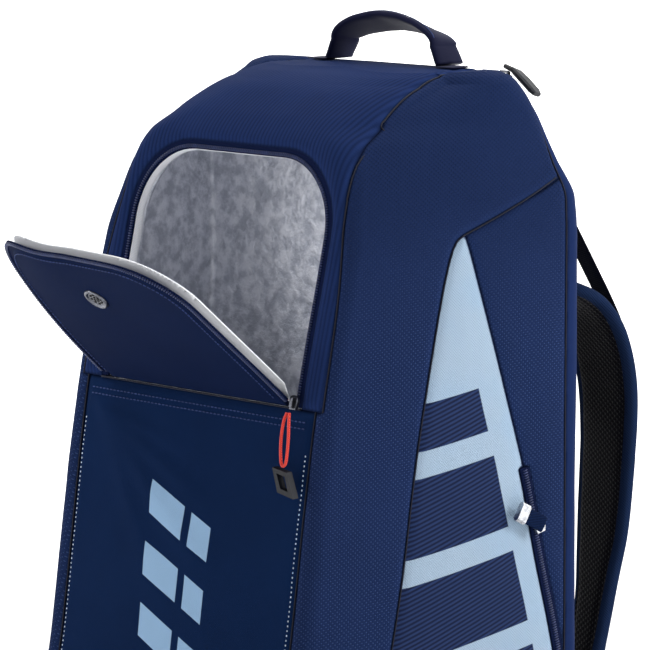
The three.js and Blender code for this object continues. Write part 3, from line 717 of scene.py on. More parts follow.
# the insert's front edge bows forward and its tip is blunt
INSERT_TIP, INSERT_HEEL = (7, 423), (BACK_SEAM_Y, 116)
INSERT_EDGE = smooth_path([INSERT_TIP, (-3, 414), (-16, 372), (-34, 290), (-49, 200), (-62, 140), (-82, 60),
                           (-92, BASE_Z)], 60)
INSERT_BACK = smooth_path([INSERT_HEEL, (80, 158), (66, 210), (54, 262), (36, 322), (20, 376),
                           INSERT_TIP], 60)
UPPER_SEAM = smooth_path([INSERT_TIP, (34, 433), (64, 445), (BACK_SEAM_Y + 1, 455)], 20)
RIB_LINE = smooth_path(RIB_SEAM[::-1], 60)


def zip_line(z):
    """Y of the side zip's centre at a height."""
    return np.interp(z, INSERT_BACK[:, 1], INSERT_BACK[:, 0])


def rib_edge(y):
    """The rib seam's half-width at a depth."""
    return np.interp(y, RIB_LINE[:, 1], RIB_LINE[:, 0])


def seam_shape(distance, depth, width=5.0):
    """0 away from a seam, falling smoothly to -depth at it."""
    t = np.clip(distance / width, 0, 1)
    return -depth * (1 - t * t * (3 - 2 * t))


def build_panel(name, fields, finish, slot, node, puff=1.4, ripple=0.7, shape=None, seed=1.0):
    """Clips the sheet by the fields, raises it like padded cloth between its seams and gives it thickness."""
    points, tris = clip_all(SHEET, *fields)
    points, normal = points[:, :3], points[:, 3:]
    normal = normal / np.linalg.norm(normal, axis=1)[:, None]
    rim = rim_distance(points, tris)
    rise = seam_shape(rim, SEAM_GROOVE) + puff * (1 - np.exp(-rim / 14)) - puff * 0.5
    rise += ripple * wobble(points, 70, seed) * np.clip(rim / 12, 0, 1)
    rise += 0.25 * ripple * wobble(points, 24, seed + 2) * np.clip(rim / 8, 0, 1)
    if shape is not None:
        rise += shape(points, rim)
    moved = points + normal * rise[:, None]
    closed, faces = thicken(moved, tris, PANEL_DEPTH, normal)
    seam = np.clip(rim / SEAM_REACH, 0, 1)
    obj = make_object(name, closed, faces, FINISH[finish], seam=np.concatenate([seam, seam]))
    place(obj, ROOT, slot, node)
    return moved, tris


def sunk_tape(name, node, sink, depth, *fields):
    """Zip tape lying a little below the body's surface; gives its surface, for the coil that goes on it."""
    points, tris = clip_all(SHEET, *fields)
    sunk = points[:, :3] - points[:, 3:] * sink
    closed, faces = thicken(sunk, tris, depth)
    place(make_object(name, closed, faces, FINISH["tape"]), ROOT, "zip_tape", node)
    return Surface(sunk, tris)


def beads(name, centres, along, normals, half_length, half_width, height, finish, slot, body=ROOT):
    """Small rounded bars: stitches when along runs with the seam, zip teeth when it runs across."""
    centres, along, normals = (np.asarray(v, float) for v in (centres, along, normals))
    side = np.cross(normals, along)
    side /= np.maximum(np.linalg.norm(side, axis=1), 1e-9)[:, None]
    points, faces = [], []
    sides_ = 6
    ring = [(math.cos(a), math.sin(a)) for a in np.linspace(0, 2 * math.pi, sides_, endpoint=False)]
    shape = ((-1, 0.45), (-0.7, 1.0), (0.7, 1.0), (1, 0.45))
    one = closed_faces(len(shape), sides_)
    for c, u, n, w in zip(centres, along, normals, side):
        faces += [[k + len(points) for k in face] for face in one]
        for t, s in shape:
            for a, b in ring:
                points.append(c + u * half_length * t + w * half_width * a * s + n * height * b * s)
    return place(make_object(name, points, faces, FINISH[finish]), body, slot)


class Surface:
    """Nearest points and outward normals on a finished sheet."""

    def __init__(self, points, tris):
        self.tree = BVHTree.FromPolygons(points.tolist(), tris.tolist())

    def at(self, line):
        found = [self.tree.find_nearest(Vector(p)) for p in line]
        return np.array([f[0] for f in found]), np.array([f[1] for f in found])


def directions(line):
    step = np.gradient(line, axis=0)
    return step / np.maximum(np.linalg.norm(step, axis=1), 1e-9)[:, None]


def stitch_row(name, surface, line, finish, slot, body=ROOT, pitch=3.4, half_length=1.15):
    """A row of stitches that follows the surface."""
    line = respaced(np.asarray(line, float), max(int(length_of(line) / pitch), 2))
    spots, normals = surface.at(line)
    return beads(name, spots + normals * 0.15, directions(spots), normals, half_length, 0.42, 0.42, finish,
                 slot, body)


def teeth_row(name, line, normals, width, body=ROOT, pitch=1.7):
    """A zip's coil: a row of bars across the line."""
    count = max(int(length_of(line) / pitch), 2)
    both = respaced(np.column_stack([line, normals]), count)
    line, normals = both[:, :3], both[:, 3:]
    normals = normals / np.linalg.norm(normals, axis=1)[:, None]
    across = np.cross(directions(line), normals)
    across /= np.linalg.norm(across, axis=1)[:, None]
    return beads(name, line, across, normals, width / 2, 0.5, 0.8, "teeth", "zip_tape", body)


def ribbon(name, line, across, thick, half, finish, edge):
    """A flat band of cloth along a line: across gives its width's direction at each point."""
    half = np.broadcast_to(half, len(line))
    run = directions(line)
    across = across - run * (across * run).sum(1)[:, None]
    across /= np.linalg.norm(across, axis=1)[:, None]
    out = np.cross(run, across)
    turn = np.linspace(0, 2 * math.pi, 32, endpoint=False)
    w = np.sign(np.cos(turn)) * np.abs(np.cos(turn)) ** edge
    t = np.sign(np.sin(turn)) * np.abs(np.sin(turn)) ** 0.7
    rings = [c + a * (h * w)[:, None] + o * (thick / 2 * t)[:, None]
             for c, a, o, h in zip(line, across, out, half)]
    obj = make_object(name, np.vstack(rings), closed_faces(len(rings), len(turn)), FINISH[finish])
    fix_normals(obj)
    return obj


def fix_normals(obj):
    """Turns a closed mesh's faces outward."""
    work = bmesh.new()
    work.from_mesh(obj.data)
    bmesh.ops.recalc_face_normals(work, faces=work.faces)
    work.to_mesh(obj.data)
    work.free()


# ---------------------------------------------------------------- camera
scene = bpy.context.scene
camera_data = bpy.data.cameras.new("camera")
camera_data.lens = 204.9
camera_data.sensor_width = 36
camera_data.clip_end = 20
camera = bpy.data.objects.new("camera", camera_data)
scene.collection.objects.link(camera)
camera.location = (1.724, -1.707, 0.710)
camera.rotation_euler = (Vector((0.107, -0.090, 0.372)) - camera.location).to_track_quat("-Z", "Y").to_euler()
scene.camera = camera

# ---------------------------------------------------------------- the zip pull's cord
CORD_ROUTE = [[92.4, -109, 317], [91.6, -111, 312], [91.2, -112.4, 305], [91.6, -113.8, 297],
              [93, -115.2, 289], [94.6, -116, 285], [96.4, -116.2, 284.2], [98, -115.8, 286.4],
              [98.2, -114.6, 293], [97.6, -113, 302], [96.4, -111.4, 311], [94.8, -109.4, 317]]


def make_cord():
    line = smooth_path(CORD_ROUTE, 60)
    data = bpy.data.curves.new("zip_pull_cord", "CURVE")
    data.dimensions = "3D"
    data.bevel_depth = 1.0 * MM
    data.bevel_resolution = 3
    data.use_fill_caps = True
    spline = data.splines.new("POLY")
    spline.points.add(len(line) - 1)
    for point, spot in zip(spline.points, line):
        point.co = (*(spot * MM), 1)
    data.materials.append(FINISH["cord"])
    obj = bpy.data.objects.new("zip_pull_cord", data)
    scene.collection.objects.link(obj)
    place(obj, "shoe_pull", "cord", "shoe_pull_cord")
    return obj, length_of(line) * MM


cord, CORD_LENGTH = make_cord()

# ---------------------------------------------------------------- outer panels
# A field gives each point of a sheet a number that is below 0 on the part to keep.
SHEET = body_sheet()


def outside(field):
    return lambda p: -field(p)


def within(corners, foot=0.0):
    """Inside an outline in X and in Z above foot."""
    return lambda p: signed_distance(p[:, 0], p[:, 2] - foot, corners)


def side_field(corners, side):
    """Inside an outline in Y and Z on one side of the bag."""
    return lambda p: np.maximum(signed_distance(p[:, 1], p[:, 2], corners), 20 - side * p[:, 0])


def before_back(p):
    return p[:, 1] - BACK_SEAM_Y


def rib_side(p):
    """Between the two rib seams. On the front the seams follow the height, and on the roof the depth."""
    over = np.clip((p[:, 2] - 450) / 45, 0, 1)
    front = monotone(LEVELS[:, 0], LEVELS[:, 1], p[:, 2])
    return np.abs(p[:, 0]) - (1 - over) * rib_edge(front) - over * rib_edge(p[:, 1])


def centre_field(p):
    return np.maximum(rib_side(p), SEAM_Z - p[:, 2])


def opening_field(p):
    return np.maximum(within(OPENING, SEAM_Z)(p), p[:, 1])


def pocket_field(p):
    face = np.maximum(np.abs(p[:, 0]) - POCKET_HALF, p[:, 2] - SEAM_Z)
    return np.maximum(face, p[:, 1] + 60)


def pocket_creases(p, rim):
    """Soft folds that fan out from the hinge seam's left end towards the low right."""
    folds = np.zeros(len(p))
    creases = ((-24, 150, 1.5, 7), (-38, 190, 1.8, 9), (-55, 170, 1.3, 9), (-12, 110, 1.0, 6))
    for angle, reach, height, wide in creases:
        turn = math.radians(angle)
        dx, dz = p[:, 0] + 92, p[:, 2] - 300
        along = dx * math.cos(turn) + dz * math.sin(turn)
        off = -dx * math.sin(turn) + dz * math.cos(turn)
        fade = np.exp(-((along - reach * 0.45) / (reach * 0.38)) ** 2)
        folds += height * fade * np.exp(-(off / (wide * (0.6 + np.clip(along, 0, 300) / 200))) ** 2)
    bulge = 3.0 * np.exp(-((p[:, 0] - 5) / 75) ** 2 - ((p[:, 2] - 190) / 90) ** 2)
    return (folds + bulge - 1.0) * np.clip(rim / 16, 0, 1)


def roof_sag(p, rim):
    """The roof dips a little between its sewn edges and the handle."""
    high = np.clip((p[:, 2] - 470) / 50, 0, 1)
    return -1.6 * high * np.clip(rim / 30, 0, 1) * (1 - np.exp(-((p[:, 0]) / 60) ** 2) * 0.5)


build_panel("roof_and_front_panel", [centre_field, before_back, outside(opening_field)], "ribbed", "ribbed",
            "center_panel", shape=roof_sag, seed=1)
POCKET = build_panel("shoe_pocket", [pocket_field], "pocket", "twill", "shoe_pocket_panel",
                     puff=2.5, ripple=1.0, shape=pocket_creases, seed=2)
ZIP_LOW, ZIP_HIGH = 134, 268


def sides():
    past_back = BACK_SEAM_Y + 5
    front = np.vstack([INSERT_EDGE[::-1], UPPER_SEAM[1:], [[92, 600], [-300, 600], [-300, BASE_Z - 1],
                                                            [INSERT_EDGE[-1][0], BASE_Z - 1]]])
    insert = np.vstack([INSERT_EDGE, [[-92, BASE_Z - 2], [past_back, BASE_Z - 2], [past_back, 116]],
                        INSERT_BACK[:-1]])
    rear = np.vstack([INSERT_BACK[::-1], [[past_back, 116], [past_back, 455]], UPPER_SEAM[::-1][1:-1]])
    heights = np.linspace(ZIP_LOW, ZIP_HIGH, 40)
    zip_outline = np.vstack([np.column_stack([zip_line(heights) - 4, heights]),
                             np.column_stack([zip_line(heights) + 4, heights])[::-1]])
    for side, tag in SIDES:
        zip_field = side_field(zip_outline, side)
        build_panel("side_front_" + tag,
                    [side_field(front, side), before_back, outside(centre_field), outside(pocket_field)],
                    "dimpled", "dimpled", "side_panel_front_" + tag, puff=1.8, seed=3 + side)
        build_panel("side_insert_panel_" + tag, [side_field(insert, side), before_back, outside(zip_field)],
                    "insert", "light", "side_insert_" + tag, puff=2.2, ripple=1.0, seed=7 + side)
        build_panel("side_rear_" + tag, [side_field(rear, side), before_back, outside(zip_field)],
                    "dimpled", "dimpled", "side_panel_rear_" + tag, puff=1.6, ripple=0.9, seed=11 + side)
        tape = sunk_tape("side_tape_" + tag, "side_zip_tape_" + tag, 1.2, 1.2, zip_field)
        z = np.linspace(ZIP_LOW + 2, ZIP_HIGH - 2, 120)
        spots, normals = tape.at(np.column_stack([side * side_x(zip_line(z), z), zip_line(z), z]))
        teeth_row("side_coil_" + tag, spots + normals * 0.3, normals, 3.6)


sides()


def tube(name, line, radius, slot):
    """A thin round cord along a line, in the dark seam finish: painted shade for a seam's groove."""
    run = directions(line)
    up = np.where(np.abs(run[:, 2:]) > 0.9, [[1.0, 0, 0]], [[0, 0, 1.0]])
    a = np.cross(run, up)
    a /= np.linalg.norm(a, axis=1)[:, None]
    b = np.cross(a, run)
    turn = np.linspace(0, 2 * math.pi, 6, endpoint=False)
    rings = [c + radius * (np.cos(turn)[:, None] * p + np.sin(turn)[:, None] * q)
             for c, p, q in zip(line, a, b)]
    obj = make_object(name, np.vstack(rings), closed_faces(len(rings), len(turn)), FINISH["seam"])
    fix_normals(obj)
    return place(obj, ROOT, slot)


def seam_shade_cords():
    """A dark cord lying in each seam's groove, as painted shade for the groove."""
    skin = Surface(SHEET[0][:, :3], SHEET[1])

    def cord_at(name, line, slot, depth=1.8, radius=0.5):
        spots, normals = skin.at(line)
        tube(name, spots - normals * depth, radius, slot)

    for side, tag in SIDES:
        # the rib seam: up the front by height, then back over the roof by depth
        z = np.linspace(SEAM_Z, 490, 90)
        x = rib_edge(monotone(LEVELS[:, 0], LEVELS[:, 1], z))
        rise = np.column_stack([side * x, front_y(x, z), z])
        roof = []
        for y in np.linspace(rise[-1, 1], BACK_SEAM_Y, 80)[1:]:
            hit = skin.tree.ray_cast(Vector((side * float(rib_edge(y)), y, 620)), Vector((0, 0, -1)))[0]
            if hit is not None:
                roof.append(tuple(hit))
        line = smooth_path(respaced(np.vstack([rise, roof]), 46), 260)
        cord_at("rib_seam_" + tag, line, "dimpled", 1.9, 0.55)
        for name, flat in (("insert_front", INSERT_EDGE), ("upper", UPPER_SEAM)):
            flat = respaced(flat[(flat[:, 0] < BACK_SEAM_Y) & (flat[:, 1] > BASE_Z)], 150)
            line = np.column_stack([side * side_x(flat[:, 0], flat[:, 1]), flat])
            cord_at("%s_seam_%s" % (name, tag), line, "dimpled")
        z = np.linspace(BASE_Z + 1, 500, 200)
        y = np.full(len(z), BACK_SEAM_Y)
        cord_at("back_seam_" + tag, np.column_stack([side * side_x(y, z), y, z]), "smooth")
        z = np.linspace(BASE_Z + 1, SEAM_Z, 140)
        x = np.full(len(z), side * POCKET_HALF)
        cord_at("pocket_seam_" + tag, np.column_stack([x, front_y(POCKET_HALF, z), z]), "twill")
    x = np.linspace(-ARCH_HALF, ARCH_HALF, 120)
    cord_at("hinge_seam", np.column_stack([x, front_y(x, SEAM_Z), np.full(len(x), SEAM_Z)]), "twill", 1.6,
            0.6)


seam_shade_cords()

# ---------------------------------------------------------------- back
def back_outline(inset):
    """The back's outline in X and Z, pulled in by inset."""
    z = np.linspace(400, 493, 16)
    wide = level_at(z)[3]
    right = np.vstack([[[151 - inset, -20]], np.column_stack([wide - inset, z]),
                       [[118 - inset, 508 - inset], [96 - inset / 2, HEIGHT - inset]]])
    return np.vstack([right, right[::-1] * [-1, 1]])


def make_back():
    behind = outside(before_back)
    ring_out, ring_in = within(back_outline(13)), within(back_outline(20))
    build_panel("back_gusset_cloth", [behind, outside(ring_out)], "smooth", "smooth", "back_gusset", puff=0.8,
                seed=21)
    build_panel("back_cloth", [behind, ring_in], "mesh", "back_mesh", "back_panel", puff=1.0, seed=22)
    tape = sunk_tape("racket_tape", "racket_zip_tape", 1.4, 1.5, behind, ring_out, outside(ring_in))
    path = respaced(back_outline(16.5)[1:-1], 400)
    path = path[path[:, 1] > 60]
    spots, normals = tape.at(np.column_stack([path[:, 0], np.full(len(path), 104.0), path[:, 1]]))
    teeth_row("racket_coil", spots - normals * 0.3, normals, 4.6, pitch=1.9)


make_back()

# ---------------------------------------------------------------- base
def make_base():
    count = 240
    rings = []
    for z in (0.0, 1.5, 3.5, 6.0, 9.0, 12.5, BASE_Z - 0.6, BASE_Z - 0.1):
        outline = section(z, 0.8 if z > BASE_Z - 0.2 else 0.0, count)
        rings.append(np.column_stack([outline, np.full(count, z)]))
    points = np.vstack(rings)
    faces = closed_faces(len(rings), count)
    obj = make_object("base_cloth", points, faces, FINISH["base"], seam=np.ones(len(points)))
    place(obj, ROOT, "base", "base_panel")


make_base()


# ---------------------------------------------------------------- shoe opening
def opening_arch(grow, corner, foot, count=0):
    """The shoe opening's outline on the upright plane, grown all round, and respaced if count is given."""
    outline = arch_outline(ARCH_HALF + grow, ARCH_RISE * FALL + grow, corner, foot)
    return respaced(outline, count) if count else outline


def on_front(outline):
    """An outline in X and in Z above the hinge seam, laid on the front face."""
    x, z = outline[:, 0], outline[:, 1] + SEAM_Z
    return np.column_stack([x, front_y(x, z), z])


def make_opening():
    tape_in = within(opening_arch(-TAPE, ARCH_CORNER - TAPE * 0.6, -8), SEAM_Z)
    tape_out = within(opening_arch(3, ARCH_CORNER + 2, -8), SEAM_Z)
    tape = sunk_tape("opening_tape", "shoe_zip_tape_body", 2.2, 1.2, lambda p: p[:, 1], tape_out,
                     outside(tape_in), lambda p: SEAM_Z + 1 - p[:, 2])
    spots, normals = tape.at(on_front(opening_arch(1.6 - TAPE, ARCH_CORNER - 2.5, 4, 420)))
    teeth_row("opening_coil", spots + normals * 0.4, normals, 2.4)
    # pale facing that turns inward behind the tape
    count, rows = 420, 10
    rim = opening_arch(0.4 - TAPE, ARCH_CORNER - 3, 2, count)
    base = on_front(rim)
    towards = np.array([0, 70.0]) - rim
    towards /= np.linalg.norm(towards, axis=1)[:, None]
    rings = []
    for t in np.linspace(0, 1, rows):
        inward = 2.6 * math.sin(math.pi * min(t * 1.2, 1)) - 5.0 * max(t - 0.55, 0)
        ring = base + np.insert(towards * inward, 1, 3.0 + 11.0 * t, axis=1)
        ring[:, 0] += 0.5 * wobble(base, 18, 5 + t)
        rings.append(ring)
    closed, faces = thicken(np.vstack(rings), triangles(grid_faces(rows, count, wrap=False)), 1.0)
    obj = make_object("opening_facing_band", closed, faces, FINISH["facing"])
    fix_normals(obj)
    place(obj, ROOT, "facing", "opening_facing")


def soft_copy(name, node, voxel, swell, size, finish, slot, body=ROOT, seed=1.0):
    """A node's shape again as soft cloth: even mesh, rounded edges and gentle creases."""
    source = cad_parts[node]
    mesh = source.data.copy()
    obj = bpy.data.objects.new(name, mesh)
    scene.collection.objects.link(obj)
    for layer in list(mesh.attributes):
        if layer.name.startswith("_FK"):
            mesh.attributes.remove(layer)
    remesh = obj.modifiers.new("remesh", "REMESH")
    remesh.mode = "VOXEL"
    remesh.voxel_size = voxel * MM * 1.0
    relax = obj.modifiers.new("relax", "SMOOTH")
    relax.factor = 0.6
    relax.iterations = 3
    depsgraph = bpy.context.evaluated_depsgraph_get()
    depsgraph.update()
    done = bpy.data.meshes.new_from_object(obj.evaluated_get(depsgraph))
    obj.modifiers.clear()
    obj.data = done
    points = np.array([v.co for v in done.vertices]) / MM
    normals = np.array([v.normal for v in done.vertices])
    rise = swell * wobble(points, size, seed) + swell * 0.4 * wobble(points, size / 3, seed + 1)
    done.vertices.foreach_set("co", ((points + normals * rise[:, None]) * MM).ravel())
    done.polygons.foreach_set("use_smooth", [True] * len(done.polygons))
    set_seam(done, np.ones(len(points)))
    done.materials.clear()
    done.materials.append(FINISH[finish])
    return place(obj, body, slot, node)


def creased_copy(name, node, edge, amount, size, finish, slot, seed):
    """A thin node's shape again, cut into small triangles and pushed about together like loose cloth."""
    work = bmesh.new()
    work.from_mesh(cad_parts[node].data)
    bmesh.ops.remove_doubles(work, verts=work.verts, dist=1e-6)
    limit = edge * MM * 1.0
    for _ in range(9):
        bmesh.ops.triangulate(work, faces=work.faces)
        long_edges = [e for e in work.edges if e.calc_length() > limit]
        if not long_edges:
            break
        bmesh.ops.subdivide_edges(work, edges=long_edges, cuts=1)
    points = np.array([v.co for v in work.verts]) / MM
    push = np.stack([wobble(points, size, seed + k) + 0.4 * wobble(points, size / 2.6, seed + 5 + k)
                     for k in range(3)], 1)
    for vert, shift in zip(work.verts, push):
        vert.co += Vector(shift * amount * MM)
    mesh = bpy.data.meshes.new(name)
    work.to_mesh(mesh)
    work.free()
    mesh.materials.append(FINISH[finish])
    mesh.polygons.foreach_set("use_smooth", [True] * len(mesh.polygons))
    obj = bpy.data.objects.new(name, mesh)
    scene.collection.objects.link(obj)
    return place(obj, ROOT, slot, node)


make_opening()
creased_copy("shoe_well", "shoe_compartment_lining", 8.0, 1.3, 38, "lining", "lining", seed=3)
creased_copy("divider_cloth", "racket_divider", 12.0, 0.8, 60, "lining", "lining", seed=4)


# ---------------------------------------------------------------- shoe flap
def flap_to_row(points):
    """From the flap's own frame (X across, Z up the flap, -Y out of its face) to the row frame."""
    c, s = math.cos(FLAP_REST), math.sin(FLAP_REST)
    p = np.asarray(points, float) + FLAP_SET
    return np.column_stack([p[:, 0], p[:, 1] * c - p[:, 2] * s, p[:, 1] * s + p[:, 2] * c]) + PIVOT


def flap_bend(points):
    """The cloth's hang: the top edge droops, the corners curl outward and the middle dishes."""
    p = np.array(points, float)
    up = np.clip(p[:, 2] / 150, 0, 1.1)
    across = p[:, 0] / 88
    curl = np.clip((-across - 0.2) / 0.8, 0, 1)
    p[:, 1] -= 3.0 * np.sin(math.pi * np.clip(up, 0, 1))
    p[:, 1] += up**2 * (15 * curl**2 - 9 - 4 * across.clip(0, 1))
    p[:, 2] -= up**2 * (9 - 1.5 * curl)
    p[:, 0] += up**2 * 3 * curl
    return p


def bent_to_row(points):
    return flap_to_row(flap_bend(points))


FLAP_OUT = flap_to_row([[0, -1.0, 0]]) - flap_to_row([[0, 0, 0.0]])  # out of the flap's face


def flap_sheet(step):
    xs = np.linspace(-FLAP_HALF - 2, FLAP_HALF + 2, int(2 * FLAP_HALF / step))
    zs = np.linspace(-4, ARCH_RISE + 4, int(ARCH_RISE / step))
    grid = np.stack(np.meshgrid(xs, zs), -1).reshape(-1, 2)
    points = np.column_stack([grid[:, 0], np.zeros(len(grid)), grid[:, 1]])
    return points, triangles(grid_faces(len(zs), len(xs), wrap=False))


def flap_row(y, half, rise, corner, foot, count):
    """Points along an outline on the flap, in the row frame, and the way out at each."""
    row = respaced(arch_outline(half, rise, corner, foot), count)
    return bent_to_row(np.insert(row, 1, y, axis=1)), np.repeat(FLAP_OUT, count, axis=0)


def make_flap():
    half, rise, corner = FLAP_HALF - TAPE + 0.6, ARCH_RISE - 2 * TAPE, ARCH_CORNER - TAPE
    zip_rise = ARCH_RISE - TAPE
    sheet = flap_sheet(1.8)

    def layer(name, field, offset, puff, groove, seed, depth, kind, slot, node):
        points, tris = clip_all(sheet, field)
        rim = rim_distance(points, tris)
        lift = seam_shape(rim, groove, 4.0) + puff * (1 - np.exp(-rim / 12))
        lift += 0.9 * wobble(points, 60, seed) * np.clip(rim / 14, 0, 1)
        points[:, 1] = offset - lift
        closed, faces = thicken(points, tris, depth)
        seam = np.clip(rim / SEAM_REACH, 0, 1)
        obj = make_object(name, bent_to_row(closed), faces, FINISH[kind], seam=np.concatenate([seam, seam]))
        place(obj, "flap", slot, node)

    cloth = within(arch_outline(half, rise, corner, -4.0))
    layer("flap_cloth", cloth, -2.0, 1.0, 0.9, 31, 2.6, "twill", "twill", "shoe_flap")
    rim_out = within(arch_outline(FLAP_HALF, zip_rise - 0.3, ARCH_CORNER - 3, 2.5))
    rim_in = within(arch_outline(half - 1.5, rise - 1.5, corner - 1, -20))
    layer("flap_tape", lambda p: np.maximum(rim_out(p), -rim_in(p)), -1.3, 0.0, 0.0, 32, 1.2, "tape",
          "zip_tape", "shoe_zip_tape_flap")
    line, out = flap_row(-2.0, FLAP_HALF - 1.4, zip_rise - 1.7, ARCH_CORNER - 4, 4, 420)
    teeth_row("flap_coil", line, out, 2.6, body="flap")
    # lining, turned up along the rim as a pale band
    points, tris = clip_all(sheet, within(arch_outline(FLAP_HALF - 3.0, zip_rise - 3.2, ARCH_CORNER - 5, 0)))
    distance = rim_distance(points, tris)
    lift = 5.5 * np.exp(-(distance / 4.0) ** 2) * np.clip(points[:, 2] / 12, 0, 1)
    points[:, 1] = 1.2 + lift + 0.5 * wobble(points, 26, 33) * np.clip(distance / 10, 0, 1)
    points[:, 0] *= 1 + 0.012 * np.exp(-(distance / 3.0) ** 2)
    closed, faces = thicken(points, tris, -1.0)
    obj = make_object("flap_lining_cloth", bent_to_row(closed), faces, FINISH["facing"])
    fix_normals(obj)
    place(obj, "flap", "facing", "flap_lining")
    # a row of stitches inside the zip
    spots, out = flap_row(-3.0, half - 4, rise - 4, corner - 3, 8, 130)
    beads("flap_stitches", spots, directions(spots), out, 1.1, 0.35, 0.4, "thread", "twill", "flap")
    make_eyelet()


def make_eyelet():
    """A mesh vent: a rolled metal ring round a disc of small holes."""
    profile = [(8.6, -0.6), (8.7, 0.2), (8.3, 1.0), (7.4, 1.3), (6.6, 0.9), (6.3, 0.3), (5.9, 0.15),
               (0.4, 0.25)]
    turn = np.linspace(0, 2 * math.pi, 48, endpoint=False)
    rings = [np.column_stack([r * np.cos(turn), np.full(len(turn), -h), r * np.sin(turn)])
             for r, h in profile]
    middle = flap_bend(np.array([[-6.0, -3.0, 106.0]]))[0]
    ring = flap_to_row(np.vstack(rings) + middle + [0, -0.4, 0])
    obj = make_object("eyelet_ring", ring, closed_faces(len(rings), len(turn)), FINISH["dark_metal"])
    fix_normals(obj)
    place(obj, "flap", "silver", "vent_eyelet")
    spots = []
    for k in range(8):
        a = k * math.pi / 4
        spots.append([4.1 * math.cos(a), 0, 4.1 * math.sin(a)])
        if k % 2 == 0:
            spots.append([1.7 * math.cos(a + 0.4), 0, 1.7 * math.sin(a + 0.4)])
    spots = flap_to_row(np.array(spots) + middle + [0, -0.85, 0])
    across, out = (np.repeat(way, len(spots), axis=0) for way in ([[1.0, 0, 0]], FLAP_OUT))
    beads("eyelet_holes", spots, across, out, 0.9, 0.7, 0.35, "plastic", "silver", "flap")


make_flap()


# ---------------------------------------------------------------- top handle
def make_handle():
    """An arch of doubled cloth, stitched along both edges, on two sewn patches."""
    half, y, width, rise = 45.5, 82.0, 14.0, 13.5
    axis_z = HEIGHT + 14.3
    turn = np.linspace(math.pi, 0, 40)
    # the legs stay close to a half ellipse and come down to the patches
    x = np.sign(np.cos(turn)) * np.abs(np.cos(turn)) ** 1.2 * half
    z = axis_z + (rise + 0.4) * np.abs(np.sin(turn)) ** 1.12
    low = np.linspace(axis_z - 12.6, axis_z - 1, 6)
    left = np.column_stack([np.linspace(-half - 6, -half, 6), low])
    right = np.column_stack([np.linspace(half, half + 6, 6), low[::-1]])
    path = respaced(np.vstack([left, np.column_stack([x, z]), right]), 110)
    line = np.insert(path, 1, y, axis=1)
    halves = width - 1.5 * np.clip(np.abs(path[:, 0]) / half, 0, 1) ** 6
    # the arch lies back a little, so its front edge stands higher than the rear one over the top
    lean = math.radians(26) * np.clip((line[:, 2] - axis_z + 10) / (rise + 10), 0, 1)
    across = np.column_stack([np.zeros(len(line)), np.cos(lean), -np.sin(lean)])
    obj = ribbon("handle_grip", line, across, 5.0, halves, "handle", edge=0.35)
    points = np.array([v.co for v in obj.data.vertices]) / MM
    points[:, 2] += 0.35 * wobble(points, 12, 41)
    obj.data.vertices.foreach_set("co", (points * MM).ravel())
    blended(obj, "handle", "top_handle", start=(0, y, HEIGHT + 1), end=(0, y, axis_z))
    out = np.cross(directions(line), across)
    out *= np.sign(out[len(out) // 2, 2])
    keep = line[:, 2] > axis_z + 1
    normals = respaced(out[keep], 60)
    for k, offset in enumerate((-11.0, 11.0)):
        spots = respaced((line + across * offset + out * 2.55)[keep], 60)
        beads("handle_stitches_%d" % k, spots, directions(spots), normals, 1.1, 0.35, 0.35, "thread",
              "webbing", "handle")
    patch = arch_outline(8.5, 9.0, 5.0, -9.0) * [0.9, 1.0]
    for side, tag in SIDES:
        rings = []
        for grow, height in ((1.0, 0.0), (1.0, 0.5), (0.93, 0.9), (0.6, 1.0)):
            rings.append(np.insert(patch * grow + [side * 60, y - 5], 2, HEIGHT + 0.2 + height, axis=1))
        anchor = make_object("handle_patch_" + tag, np.vstack(rings), closed_faces(len(rings), len(patch)),
                             FINISH["handle"])
        fix_normals(anchor)
        place(anchor, ROOT, "webbing", "handle_anchor_" + tag)


make_handle()

# ---------------------------------------------------------------- shoulder straps
# x, y, z and half-width
STRAP_ROUTE = [[96, 124, 375, 16], [98, 138, 373, 26], [101, 156, 362, 29], [106, 171, 338, 30],
               [109, 179, 302, 30], [110, 178, 252, 30], [110, 174, 204, 27], [111, 166, 160, 20],
               [113, 155, 121, 17]]
WEBBING_ROUTE = [[115, 148, 102], [118, 144, 92], [125, 135, 68], [132, 124, 48], [136.5, 117, 39]]
LIFTER_ROUTE = [[108, 111, 456], [110, 132, 422], [112, 154, 388], [113, 171, 362], [112, 182, 344],
                [111, 187.5, 322]]


def mirrored_copy(line, side):
    line = np.array(line, float)
    line[:, 0] *= side
    return line


